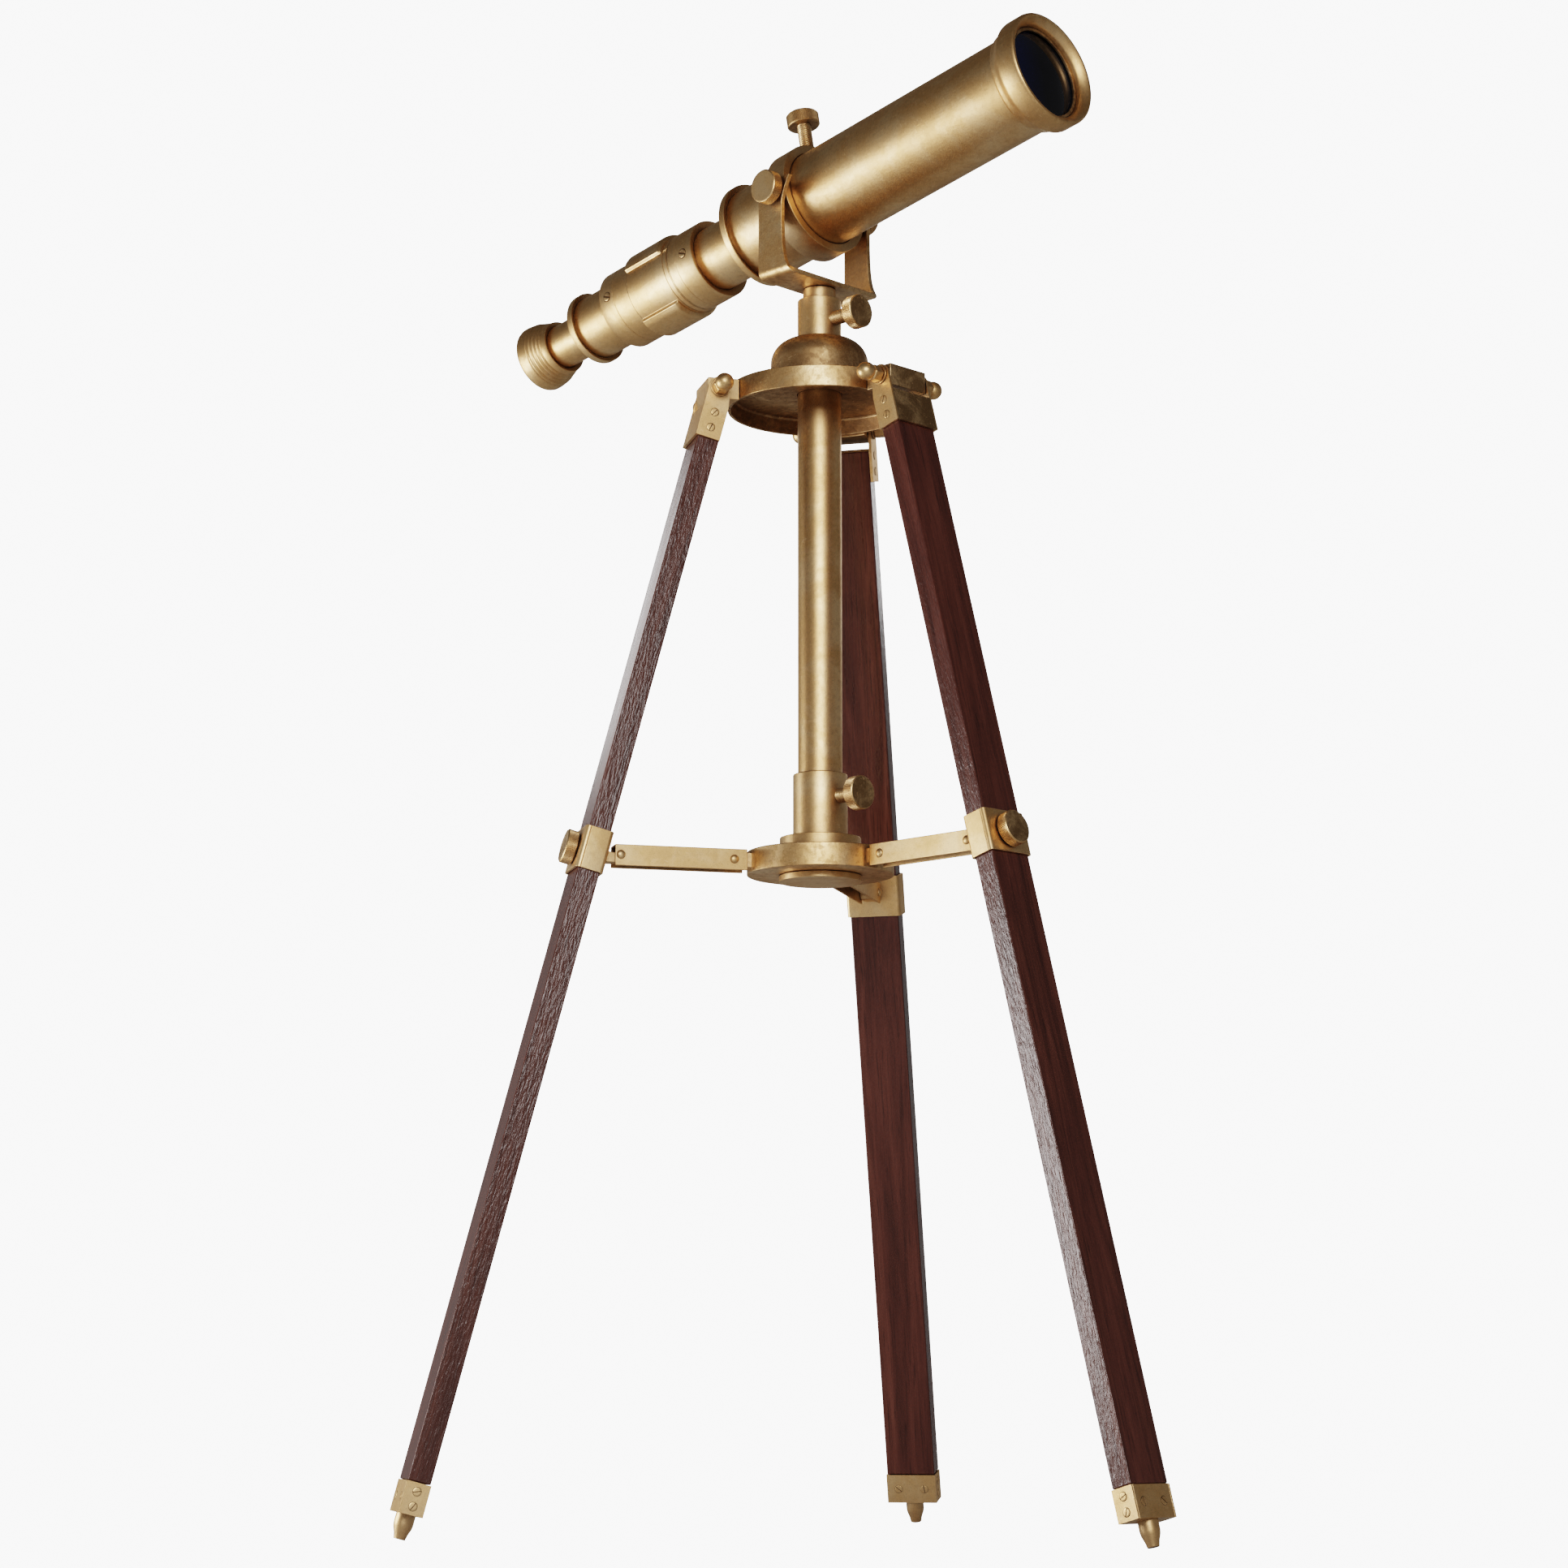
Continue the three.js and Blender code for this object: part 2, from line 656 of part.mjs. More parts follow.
// Two trunnion screws go through the arms into the cradle ring: one has a knob on a
// neck, the other a plain round nut. Each is drawn standing up, tip down.
function trunnionKnob() {
  const seat = TRUNNION_KNOB_FACE - HEAD_THICKNESS;
  const chamfer = 0.8;
  return trunnionScrew([
    [6.5, YOKE_OUTER + GAP],
    [6.5, seat],
    [HEAD_RADIUS - chamfer, seat],
    [HEAD_RADIUS, seat + chamfer],
    [HEAD_RADIUS, TRUNNION_KNOB_FACE - chamfer],
    [HEAD_RADIUS - chamfer, TRUNNION_KNOB_FACE],
  ]);
}

function trunnionNut() {
  const chamfer = 0.8;
  return trunnionScrew([
    [TRUNNION_NUT_RADIUS, YOKE_OUTER + GAP],
    [TRUNNION_NUT_RADIUS, TRUNNION_NUT_FACE - chamfer],
    [TRUNNION_NUT_RADIUS - chamfer, TRUNNION_NUT_FACE],
  ]);
}

function trunnionScrew(head) {
  const tip = TUBE_RADIUS + 1.4;
  const face = head[head.length - 1][1];
  const shank = [[0, tip], [TRUNNION_RADIUS, tip], [TRUNNION_RADIUS, YOKE_OUTER + GAP]];
  return turned([...shank, ...head, [0, face]], SEGMENTS_SMALL);
}

function buildYoke() {
  const yoke = new THREE.Group();
  yoke.rotation.z = YOKE_TURN;
  yoke.add(named("yoke", yokeStrip()));
  const spigot = rod(SPIGOT_RADIUS, SPIGOT_BOTTOM, YOKE_BOTTOM - GAP, SEGMENTS_MEDIUM);
  yoke.add(named("yoke_spigot", spigot));

  const nut = named("trunnion_nut", trunnionNut());
  nut.rotation.x = -Math.PI / 2;
  nut.position.z = TRUNNION_HEIGHT;
  const knob = named("trunnion_knob", trunnionKnob());
  knob.rotation.x = Math.PI / 2;
  knob.position.z = TRUNNION_HEIGHT;
  yoke.add(nut, knob);
  return yoke;
}

// ---- Telescope ----

function cradleRing() {
  const bore = TUBE_RADIUS + GAP;
  const body = turned([
    [bore, CRADLE_REAR],
    [CRADLE_RADIUS - 2, CRADLE_REAR],
    [CRADLE_RADIUS - 0.6, CRADLE_REAR + 0.6],
    [CRADLE_RADIUS, CRADLE_REAR + 2],
    [CRADLE_RADIUS, CRADLE_FRONT - 0.5],
    [CRADLE_RADIUS - 0.5, CRADLE_FRONT],
    [bore, CRADLE_FRONT],
  ]);
  const trunnionBore = rodAlongY(TRUNNION_RADIUS + GAP, -50, 50, AXIS_RISE, 0);
  const screwHole = rodAlongX(SHANK_RADIUS + GAP, -50, -20, 0, CRADLE_SCREW_AT);
  return cutBy(body, trunnionBore, screwHole);
}

function cradleThumbscrew() {
  const tip = TUBE_RADIUS + GAP;
  const face = 65.5;
  const screw = named("cradle_thumbscrew", thumbscrew(face - tip, SHANK_RADIUS, 8.5));
  screw.rotation.y = -Math.PI / 2;
  screw.position.set(-tip, 0, CRADLE_SCREW_AT);
  return screw;
}

// A ring that closes a tube's rear end: a raised lip outside, a cove in front of
// it, and a bush inside the tube that guides the next draw tube.
function endRing(tubeRadius, wall, lipRadius, rear, bore, bushFront, segments) {
  const lipFront = rear + 5.2;
  const seat = rear + 1.2;
  const over = tubeRadius + GAP;
  return turned(
    [
      [bore, rear],
      [lipRadius - 0.8, rear],
      [lipRadius, rear + 0.8],
      [lipRadius, lipFront],
      [(lipRadius + over) / 2, lipFront + 0.4],
      [over, lipFront + 2.2],
      [over, seat],
      [tubeRadius - wall - GAP, seat],
      [tubeRadius - wall - GAP, bushFront],
      [bore, bushFront],
    ],
    segments,
  );
}

// The object glass mount: a band with a rounded front rim, a bevel down to the
// glass and a shoulder behind that slips over the tube.
function objectiveCell() {
  const bore = TUBE_RADIUS + GAP;
  return turned([
    [bore, 181.5],
    [34, 182.5],
    [34.6, 185.5],
    [CELL_RADIUS - 0.9, 188.7],
    [CELL_RADIUS, 190.4],
    [CELL_RADIUS, CELL_FRONT - 2],
    [CELL_RADIUS - 0.6, CELL_FRONT - 0.5],
    [CELL_RADIUS - 1.6, CELL_FRONT],
    [31.6, 200.4],
    [31.2, 192],
    [28.6, 192],
    [28.6, 187.5],
    [bore, 187.5],
  ]);
}

// A plano-convex object glass, its curved face towards the object.
function objectiveLens() {
  const rear = 192 + GAP;
  const profile = [[0, rear], [GLASS_RADIUS, rear], [GLASS_RADIUS, rear + 2.4]];
  for (const share of [0.66, 0.33, 0]) {
    profile.push([GLASS_RADIUS * share, rear + 2.4 + 2 * (1 - share * share)]);
  }
  return turned(profile, SEGMENTS_MEDIUM);
}

function lensRetainingRing() {
  const rear = 192 + 2.4 + 2 * GAP + 0.3;
  return tube(28.8, 31.2 - GAP, rear, rear + 1.6);
}

// A collar of the focus sleeve, dished at its outer end, with a pocket for its screw.
function sleeveCollar(front, rear, dishedEnd, screwAt) {
  const bore = DRAW_1_RADIUS + GAP;
  const dish = 2.6;
  const [low, high] = [rear, front];
  const profile = dishedEnd === "front"
    ? [
        [bore, low],
        [SLEEVE_RADIUS, low],
        [SLEEVE_RADIUS, high - 0.7],
        [SLEEVE_RADIUS - 0.7, high],
        [bore + 0.8, high - dish],
        [bore, high - dish],
      ]
    : [
        [bore, low],
        [bore + 2.5, low],
        [SLEEVE_RADIUS, low + 1.2],
        [SLEEVE_RADIUS, high],
        [bore, high],
      ];
  const pocket = rodAlongY(SLEEVE_SCREW_RADIUS + GAP, -40, 1.6 - SLEEVE_RADIUS, 0, screwAt);
  return cutBy(turned(profile), pocket);
}

function sleeveScrew(end) {
  const screw = rodAlongY(
    SLEEVE_SCREW_RADIUS,
    -SLEEVE_RADIUS - 0.25,
    1.6 - GAP - SLEEVE_RADIUS,
    0,
    SLEEVE_SCREWS_AT[end],
  );
  return named(`sleeve_screw_${end}`, screw);
}

// The turning grip: a plain barrel with raised lands round part of it.
function focusGrip() {
  const bore = DRAW_1_RADIUS + GAP;
  const [rear, front] = [GRIP_REAR + GAP, GRIP_FRONT - GAP];
  let grip = tube(bore, SLEEVE_RADIUS, rear, front);
  for (let i = 0; i < LAND_COUNT; i++) {
    const centre = LAND_CENTRE + (i * 2 * Math.PI) / LAND_COUNT;
    grip = joined(grip, land(rear, centre));
  }
  return grip;
}

// One land. Angles are measured from +Y towards the upper side of the telescope.
function land(rear, centre) {
  const shape = new THREE.Shape();
  const [from, to] = [centre - LAND_HALF_ANGLE, centre + LAND_HALF_ANGLE];
  const foot = SLEEVE_RADIUS - 1.5;
  shape.absarc(0, 0, LAND_RADIUS, from + 0.04, to - 0.04, false);
  shape.absarc(0, 0, foot, to, from, true);
  const settings = { depth: LAND_FRONT - rear, bevelEnabled: false, curveSegments: 14 };
  return new THREE.ExtrudeGeometry(shape, settings).rotateZ(Math.PI / 2).translate(0, 0, rear);
}

// The eyepiece flares towards the eye round an open eye hole.
function eyepiece() {
  const bore = DRAW_2_RADIUS + GAP;
  const eyeHole = 6;
  return turned(
    [
      [eyeHole, EYEPIECE_REAR + 3],
      [21.5, EYEPIECE_REAR],
      [23.4, EYEPIECE_REAR + 1],
      [23.7, EYEPIECE_REAR + 3.4],
      [22.9, EYEPIECE_REAR + 9],
      [19.9, EYEPIECE_REAR + 17],
      [18.6, EYEPIECE_FRONT],
      [bore + 1, EYEPIECE_FRONT],
      [bore, EYEPIECE_FRONT - 1],
      [bore, DRAW_2_REAR - GAP],
      [eyeHole, DRAW_2_REAR - GAP],
    ],
    SEGMENTS_LARGE,
  );
}

// A plano-convex lens held inside a draw tube, flat side to the rear.
function smallLens(radius, rear) {
  const profile = [[0, rear], [radius, rear], [radius, rear + 1.2], [radius * 0.5, rear + 2.6]];
  profile.push([0, rear + 3]);
  return turned(profile, SEGMENTS_SMALL);
}

function buildTelescope() {
  const telescope = new THREE.Group();
  telescope.rotation.z = YOKE_TURN;

  const tilting = new THREE.Group();
  tilting.position.z = TRUNNION_HEIGHT;
  tilting.rotation.y = -ELEVATION;
  telescope.add(tilting);

  const axis = new THREE.Group();
  axis.position.z = AXIS_RISE;
  axis.rotation.y = Math.PI / 2;
  tilting.add(axis);

  axis.add(named("cradle_ring", cradleRing()));
  axis.add(cradleThumbscrew());

  const tubeBore = TUBE_RADIUS - TUBE_WALL;
  axis.add(named("main_tube", tube(tubeBore, TUBE_RADIUS, TUBE_REAR, TUBE_FRONT)));
  axis.add(named("objective_cell", objectiveCell()));
  axis.add(named("objective_lens", objectiveLens(), glass()));
  axis.add(named("lens_retaining_ring", lensRetainingRing()));
  const drawBore1 = DRAW_1_RADIUS + GAP;
  const rearRing = endRing(TUBE_RADIUS, TUBE_WALL, 35.8, -58.5, drawBore1, -28, SEGMENTS_LARGE);
  axis.add(named("rear_flange_ring", rearRing));

  const drawTube1 = tube(DRAW_1_RADIUS - DRAW_WALL, DRAW_1_RADIUS, DRAW_1_REAR, DRAW_1_FRONT);
  axis.add(named("draw_tube_1", drawTube1));
  const collarFront = sleeveCollar(SLEEVE_FRONT, GRIP_FRONT, "front", SLEEVE_SCREWS_AT.front);
  const collarRear = sleeveCollar(GRIP_REAR, SLEEVE_REAR, "rear", SLEEVE_SCREWS_AT.rear);
  axis.add(named("sleeve_collar_front", collarFront));
  axis.add(named("focus_grip", focusGrip()));
  axis.add(named("sleeve_collar_rear", collarRear));
  axis.add(sleeveScrew("front"));
  axis.add(sleeveScrew("rear"));
  const drawBore2 = DRAW_2_RADIUS + GAP;
  const drawRing = endRing(DRAW_1_RADIUS, DRAW_WALL, 25.5, -221.3, drawBore2, -201, SEGMENTS_MEDIUM);
  axis.add(named("draw_flange_ring", drawRing));

  const drawTube2 = tube(
    DRAW_2_RADIUS - DRAW_WALL,
    DRAW_2_RADIUS,
    DRAW_2_REAR,
    DRAW_2_FRONT,
    SEGMENTS_MEDIUM,
  );
  axis.add(named("draw_tube_2", drawTube2));
  axis.add(named("eyepiece", eyepiece()));
  const lensRadius = DRAW_2_RADIUS - DRAW_WALL - GAP;
  axis.add(named("eye_lens", smallLens(lensRadius, DRAW_2_REAR + 1), glass()));
  axis.add(named("field_lens", smallLens(lensRadius, DRAW_2_REAR + 22), glass()));
  return telescope;
}

// ---- The whole instrument ----

const instrument = new THREE.Group();
instrument.add(buildHead());
instrument.add(buildPost());
instrument.add(buildHub());
LEG_NAMES.forEach((_, index) => instrument.add(buildLeg(index)));
instrument.add(buildYoke());
instrument.add(buildTelescope());

export default instrument;
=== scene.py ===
"""Finished look of a brass telescope on a folding wooden tripod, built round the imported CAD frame.

Lengths in the shape functions are millimetres in the piece's own frame. add_piece() turns them into
metres, and the object's matrix puts the piece in place. The joints say where each frame is.
"""

import json
import math

import bmesh
import bpy
from mathutils import Matrix, Vector


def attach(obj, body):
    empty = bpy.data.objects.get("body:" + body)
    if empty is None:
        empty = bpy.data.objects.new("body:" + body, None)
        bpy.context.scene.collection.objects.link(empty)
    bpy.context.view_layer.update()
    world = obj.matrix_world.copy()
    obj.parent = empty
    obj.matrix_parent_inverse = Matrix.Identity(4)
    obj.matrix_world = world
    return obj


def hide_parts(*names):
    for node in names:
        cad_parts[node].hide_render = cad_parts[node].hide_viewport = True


MM = 0.001
LEGS = "abc"
BACKDROP_LEVEL = 3.7

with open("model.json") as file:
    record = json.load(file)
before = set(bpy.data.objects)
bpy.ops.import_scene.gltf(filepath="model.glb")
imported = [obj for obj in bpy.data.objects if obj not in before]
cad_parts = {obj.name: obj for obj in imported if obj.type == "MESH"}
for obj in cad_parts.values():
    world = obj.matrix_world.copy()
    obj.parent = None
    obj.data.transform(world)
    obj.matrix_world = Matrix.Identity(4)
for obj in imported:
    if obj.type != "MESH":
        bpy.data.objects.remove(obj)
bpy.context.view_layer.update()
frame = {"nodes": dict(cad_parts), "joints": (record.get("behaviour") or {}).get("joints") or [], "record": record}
joints = {joint["name"]: joint for joint in frame["joints"]}
body_of = {
    node: body
    for body, nodes in frame["record"]["behaviour"]["bodies"].items()
    for node in nodes
}


# ---- Frames ----


def axes_frame(origin, y_axis, z_axis):
    """A matrix with that origin, y and z axis, and the x axis that completes them."""
    y = Vector(y_axis).normalized()
    z = Vector(z_axis).normalized()
    x = y.cross(z)
    rows = [[x[i], y[i], z[i], origin[i]] for i in range(3)]
    return Matrix(rows + [[0, 0, 0, 1]])


def joint_vector(name, key="axis"):
    return Vector(joints[name][key])


UP = Vector((0, 0, 1))
SIDE = -joint_vector("tube_tilt")
OPTICAL_AXIS = joint_vector("tube_slide")
FOCUS_JOINT_BEHIND_TRUNNIONS = 137.5
TUBE_ORIGIN = joint_vector("focus_turn", "pos_m") + OPTICAL_AXIS * FOCUS_JOINT_BEHIND_TRUNNIONS * MM
TRUNNION_HEIGHT = joint_vector("tube_tilt", "pos_m").z / MM
AZIMUTH_SCREW_HEIGHT = joint_vector("azimuth_screw_turn", "pos_m").z / MM
LOWER_SCREW_HEIGHT = joint_vector("lower_screw_turn", "pos_m").z / MM
ARM_HEIGHT = joint_vector("arm_swing_a", "pos_m").z / MM

STAND_FRAME = Matrix.Identity(4)
YOKE_FRAME = axes_frame((0, 0, 0), SIDE, UP)
TUBE_FRAME = axes_frame(TUBE_ORIGIN, SIDE, OPTICAL_AXIS)
ARM_FRAMES = {leg: axes_frame((0, 0, 0), joint_vector(f"arm_swing_{leg}"), UP) for leg in LEGS}
PIN_FRAMES = {
    leg: axes_frame(joint_vector(f"leg_fold_{leg}", "pos_m"), joint_vector(f"leg_fold_{leg}"), UP)
    for leg in LEGS
}
LEG_FRAMES = {
    leg: axes_frame(
        joint_vector(f"leg_fold_{leg}", "pos_m"),
        joint_vector(f"leg_fold_{leg}"),
        -joint_vector(f"clamp_slide_{leg}"),
    )
    for leg in LEGS
}


def moved(x=0.0, y=0.0, z=0.0):
    return Matrix.Translation(Vector((x, y, z)) * MM)


def turned_about(axis, degrees):
    return Matrix.Rotation(math.radians(degrees), 4, axis)


# ---- Mesh shapes, in millimetres ----


def on_circle(radius, angle, height=0.0):
    return Vector((radius * math.cos(angle), radius * math.sin(angle), height))


def skin(mesh, loops, closed=False):
    """Joins loops of points one after another. An open skin gets a flat cap at each end."""
    rows = [[mesh.verts.new(point) for point in loop] for loop in loops]
    pairs = list(zip(rows, rows[1:]))
    if closed:
        pairs.append((rows[-1], rows[0]))
    count = len(rows[0])
    for low, high in pairs:
        for i in range(count):
            j = (i + 1) % count
            mesh.faces.new((low[i], low[j], high[j], high[i]))
    if not closed:
        mesh.faces.new(reversed(rows[0]))
        mesh.faces.new(rows[-1])
    return mesh


def lathe(mesh, profile, segments=96):
    """Turns (radius, height) pairs about Z. They run up the outside and down any bore."""
    angles = [2 * math.pi * i / segments for i in range(segments)]
    solid = profile[0][0] == 0
    rings = profile[1:-1] if solid else profile
    loops = [[on_circle(radius, angle, height) for angle in angles] for radius, height in rings]
    return skin(mesh, loops, closed=not solid)


def prism(mesh, outline, low, high, along="z"):
    """An outline of (u, v) pairs given thickness along an axis."""
    order = {"x": (2, 0, 1), "y": (1, 2, 0), "z": (0, 1, 2)}[along]
    loops = []
    for height in (low, high):
        points = [(u, v, height) for u, v in outline]
        loops.append([Vector((p[order[0]], p[order[1]], p[order[2]])) for p in points])
    return skin(mesh, loops)


def box(mesh, x, y, z):
    corners = [(x[0], y[0]), (x[1], y[0]), (x[1], y[1]), (x[0], y[1])]
    return prism(mesh, corners, z[0], z[1])


def arc(centre_u, centre_v, radius, start, end, steps):
    """Outline points round a centre, from one angle to another in degrees."""
    points = []
    for i in range(steps + 1):
        angle = math.radians(start + (end - start) * i / steps)
        points.append((centre_u + radius * math.cos(angle), centre_v + radius * math.sin(angle)))
    return points


def rounded_rectangle(u, v, corner, steps):
    points = arc(u[1] - corner, v[0] + corner, corner, -90, 0, steps)
    points += arc(u[1] - corner, v[1] - corner, corner, 0, 90, steps)
    points += arc(u[0] + corner, v[1] - corner, corner, 90, 180, steps)
    points += arc(u[0] + corner, v[0] + corner, corner, 180, 270, steps)
    return points


def knurled_disc(mesh, radius, low, high, teeth=72, depth=0.28, rim=0.7):
    """A disc with straight knurling round its edge and plain chamfers."""
    angles = [2 * math.pi * i / (teeth * 4) for i in range(teeth * 4)]

    def plain(ring_radius, height):
        return [on_circle(ring_radius, angle, height) for angle in angles]

    def toothed(height):
        cuts = [depth if i % 4 in (0, 1) else 0 for i in range(len(angles))]
        return [on_circle(radius - cut, angle, height) for cut, angle in zip(cuts, angles)]

    loops = [
        plain(radius - rim - 0.1, low),
        plain(radius - depth - 0.15, low + rim * 0.7),
        toothed(low + rim),
        toothed(high - rim),
        plain(radius - depth - 0.15, high - rim * 0.7),
        plain(radius - rim - 0.1, high),
    ]
    return skin(mesh, loops)


def threaded_rod(mesh, radius, low, high, pitch=1.45, depth=0.6, segments=32):
    """A rod with a V thread along its whole length."""
    steps = int((high - low) / pitch * 6)
    loops = []
    for step in range(steps + 1):
        height = low + (high - low) * step / steps
        loop = []
        for i in range(segments):
            turn = (height / pitch - i / segments) % 1
            cut = depth * abs(2 * turn - 1)
            loop.append(on_circle(radius - cut, 2 * math.pi * i / segments, height))
        loops.append(loop)
    return skin(mesh, loops)


def ball(mesh, radius, x, y, z, rings=16, segments=32):
    loops = []
    for i in range(1, rings):
        angle = math.pi * i / rings
        ring = radius * math.sin(angle)
        height = -radius * math.cos(angle)
        loops.append(
            [
                Vector((x, y, z)) + on_circle(ring, 2 * math.pi * j / segments, height)
                for j in range(segments)
            ]
        )
    return skin(mesh, loops)


FITTING_SCREW = {"radius": 2.6, "proud": 0.3, "half_slot": 0.27, "rim": 0.22}
SLEEVE_SCREW = {"radius": 3.0, "proud": 0.6, "half_slot": 0.75, "rim": 0.5}


def slotted_screw(mesh, place, radius, proud, half_slot, rim):
    """A low domed screw head on z = 0 with a slot along x, over a dark recess disc with its own material that
    paints the shade in the slot and round the head.
    """
    part = bmesh.new()
    recess = radius + rim
    lathe(part, [(0, -0.6), (recess, -0.6), (recess, 0.04), (0, 0.04)], 32)
    # The recess disc takes the second material: painted shade in the slot and round the head.
    for each in part.faces:
        each.material_index = 1
    start = math.asin(half_slot / radius)
    for side in (1, -1):
        layers = ((1.0, -0.2), (1.0, proud * 0.55), (0.9, proud * 0.9), (0.7, proud))
        loops = []
        for share, height in layers:
            loop = []
            for i in range(17):
                angle = start + (math.pi - 2 * start) * i / 16
                v = max(half_slot, radius * share * math.sin(angle))
                loop.append(Vector((side * radius * share * math.cos(angle), side * v, height)))
            loops.append(loop)
        skin(part, loops)
    part.transform(place)
    merge_into(mesh, part)
    return mesh


def merge_into(mesh, part):
    data = bpy.data.meshes.new("part")
    part.to_mesh(data)
    part.free()
    mesh.from_mesh(data)
    bpy.data.meshes.remove(data)


# ---- Material building blocks ----


def add_node(tree, kind, **settings):
    made = tree.nodes.new(kind)
    for key, value in settings.items():
        setattr(made, key, value)
    return made


def link(tree, source, target):
    tree.links.new(source, target)


def stretched(tree, scale, offset=(0, 0, 0)):
    """Object coordinates, multiplied by a scale for each axis."""
    coordinates = add_node(tree, "ShaderNodeTexCoord")
    mapping = add_node(tree, "ShaderNodeMapping")
    mapping.inputs["Scale"].default_value = scale
    mapping.inputs["Location"].default_value = offset
    link(tree, coordinates.outputs["Object"], mapping.inputs["Vector"])
    return mapping.outputs["Vector"]


def noise(tree, vector, scale, detail=4.0, roughness=0.55, distortion=0.0):
    made = add_node(tree, "ShaderNodeTexNoise")
    made.inputs["Scale"].default_value = scale
    made.inputs["Detail"].default_value = detail
    made.inputs["Roughness"].default_value = roughness
    made.inputs["Distortion"].default_value = distortion
    link(tree, vector, made.inputs["Vector"])
    return made.outputs["Fac"]


def ramp(tree, factor, stops):
    """A colour ramp. Each stop is (position, colour), where a colour may be one grey value."""
    made = add_node(tree, "ShaderNodeValToRGB")
    elements = made.color_ramp.elements
    while len(elements) < len(stops):
        elements.new(0.5)
    for element, (position, colour) in zip(elements, stops):
        element.position = position
        level = colour if isinstance(colour, tuple) else (colour,) * 3
        element.color = (*level, 1)
    link(tree, factor, made.inputs["Fac"])
    return made.outputs["Color"]


def mix_colours(tree, factor, first, second, blend="MIX"):
    made = add_node(tree, "ShaderNodeMix", data_type="RGBA", blend_type=blend)
    sockets = {"Factor_Float": factor, "A_Color": first, "B_Color": second}
    for identifier, value in sockets.items():
        socket = next(s for s in made.inputs if s.identifier == identifier)
        if isinstance(value, bpy.types.NodeSocket):
            link(tree, value, socket)
        elif isinstance(value, tuple):
            socket.default_value = (*value, 1)
        else:
            socket.default_value = value
    return next(s for s in made.outputs if s.identifier == "Result_Color")


def math_node(tree, operation, first, second=0.0):
    made = add_node(tree, "ShaderNodeMath", operation=operation, use_clamp=True)
    for socket, value in zip(made.inputs, (first, second)):
        if isinstance(value, bpy.types.NodeSocket):
            link(tree, value, socket)
        else:
            socket.default_value = value
    return made.outputs["Value"]


def bump(tree, height, strength, distance, normal=None):
    made = add_node(tree, "ShaderNodeBump")
    made.inputs["Strength"].default_value = strength
    made.inputs["Distance"].default_value = distance
    link(tree, height, made.inputs["Height"])
    if normal is not None:
        link(tree, normal, made.inputs["Normal"])
    return made.outputs["Normal"]


def crevices(tree, distance):
    """1 where another surface is close, 0 on open surfaces."""
    made = add_node(tree, "ShaderNodeAmbientOcclusion", samples=6)
    made.inputs["Distance"].default_value = distance
    return math_node(tree, "SUBTRACT", 1.0, made.outputs["AO"])


def worn_edges(tree, radius):
    """Above 0 within a radius of a sharp edge."""
    softened = add_node(tree, "ShaderNodeBevel", samples=4)
    softened.inputs["Radius"].default_value = radius
    geometry = add_node(tree, "ShaderNodeNewGeometry")
    dot = add_node(tree, "ShaderNodeVectorMath", operation="DOT_PRODUCT")
    link(tree, softened.outputs["Normal"], dot.inputs[0])
    link(tree, geometry.outputs["Normal"], dot.inputs[1])
    return math_node(tree, "SUBTRACT", 1.0, dot.outputs["Value"])


def camera_rays_see(tree, others, camera):
    """One shader for camera rays, the other for every other ray."""
    path = add_node(tree, "ShaderNodeLightPath")
    choice = add_node(tree, "ShaderNodeMixShader")
    link(tree, path.outputs["Is Camera Ray"], choice.inputs["Fac"])
    link(tree, others, choice.inputs[1])
    link(tree, camera, choice.inputs[2])
    return choice.outputs["Shader"]


def new_material(name):
    material = bpy.data.materials.new(name)
    material.use_nodes = True
    return material, material.node_tree, material.node_tree.nodes["Principled BSDF"]


# ---- Materials ----

CLEAN_BRASS = (0.87, 0.56, 0.28)
PALE_BRASS = (0.94, 0.67, 0.39)
BROWN_PATINA = (0.44, 0.26, 0.125)
OLIVE_PATINA = (0.27, 0.17, 0.085)
CORNER_TARNISH_AND_SHADE = (0.26, 0.17, 0.105)
SHELTERED_PAINTED_SHADE = (0.36, 0.27, 0.19)

# Noise scales, in cells for each metre.
CLOUD_SCALE = 28
MOTTLE_SCALE = 260
GRAIN_SCALE = 1400
BRUSHING_SCALE = 1500
SCUFF_SCALE = 420
FIGURE_SCALE = 75
PORE_SCALE = 900
WAVE_SCALE = 850


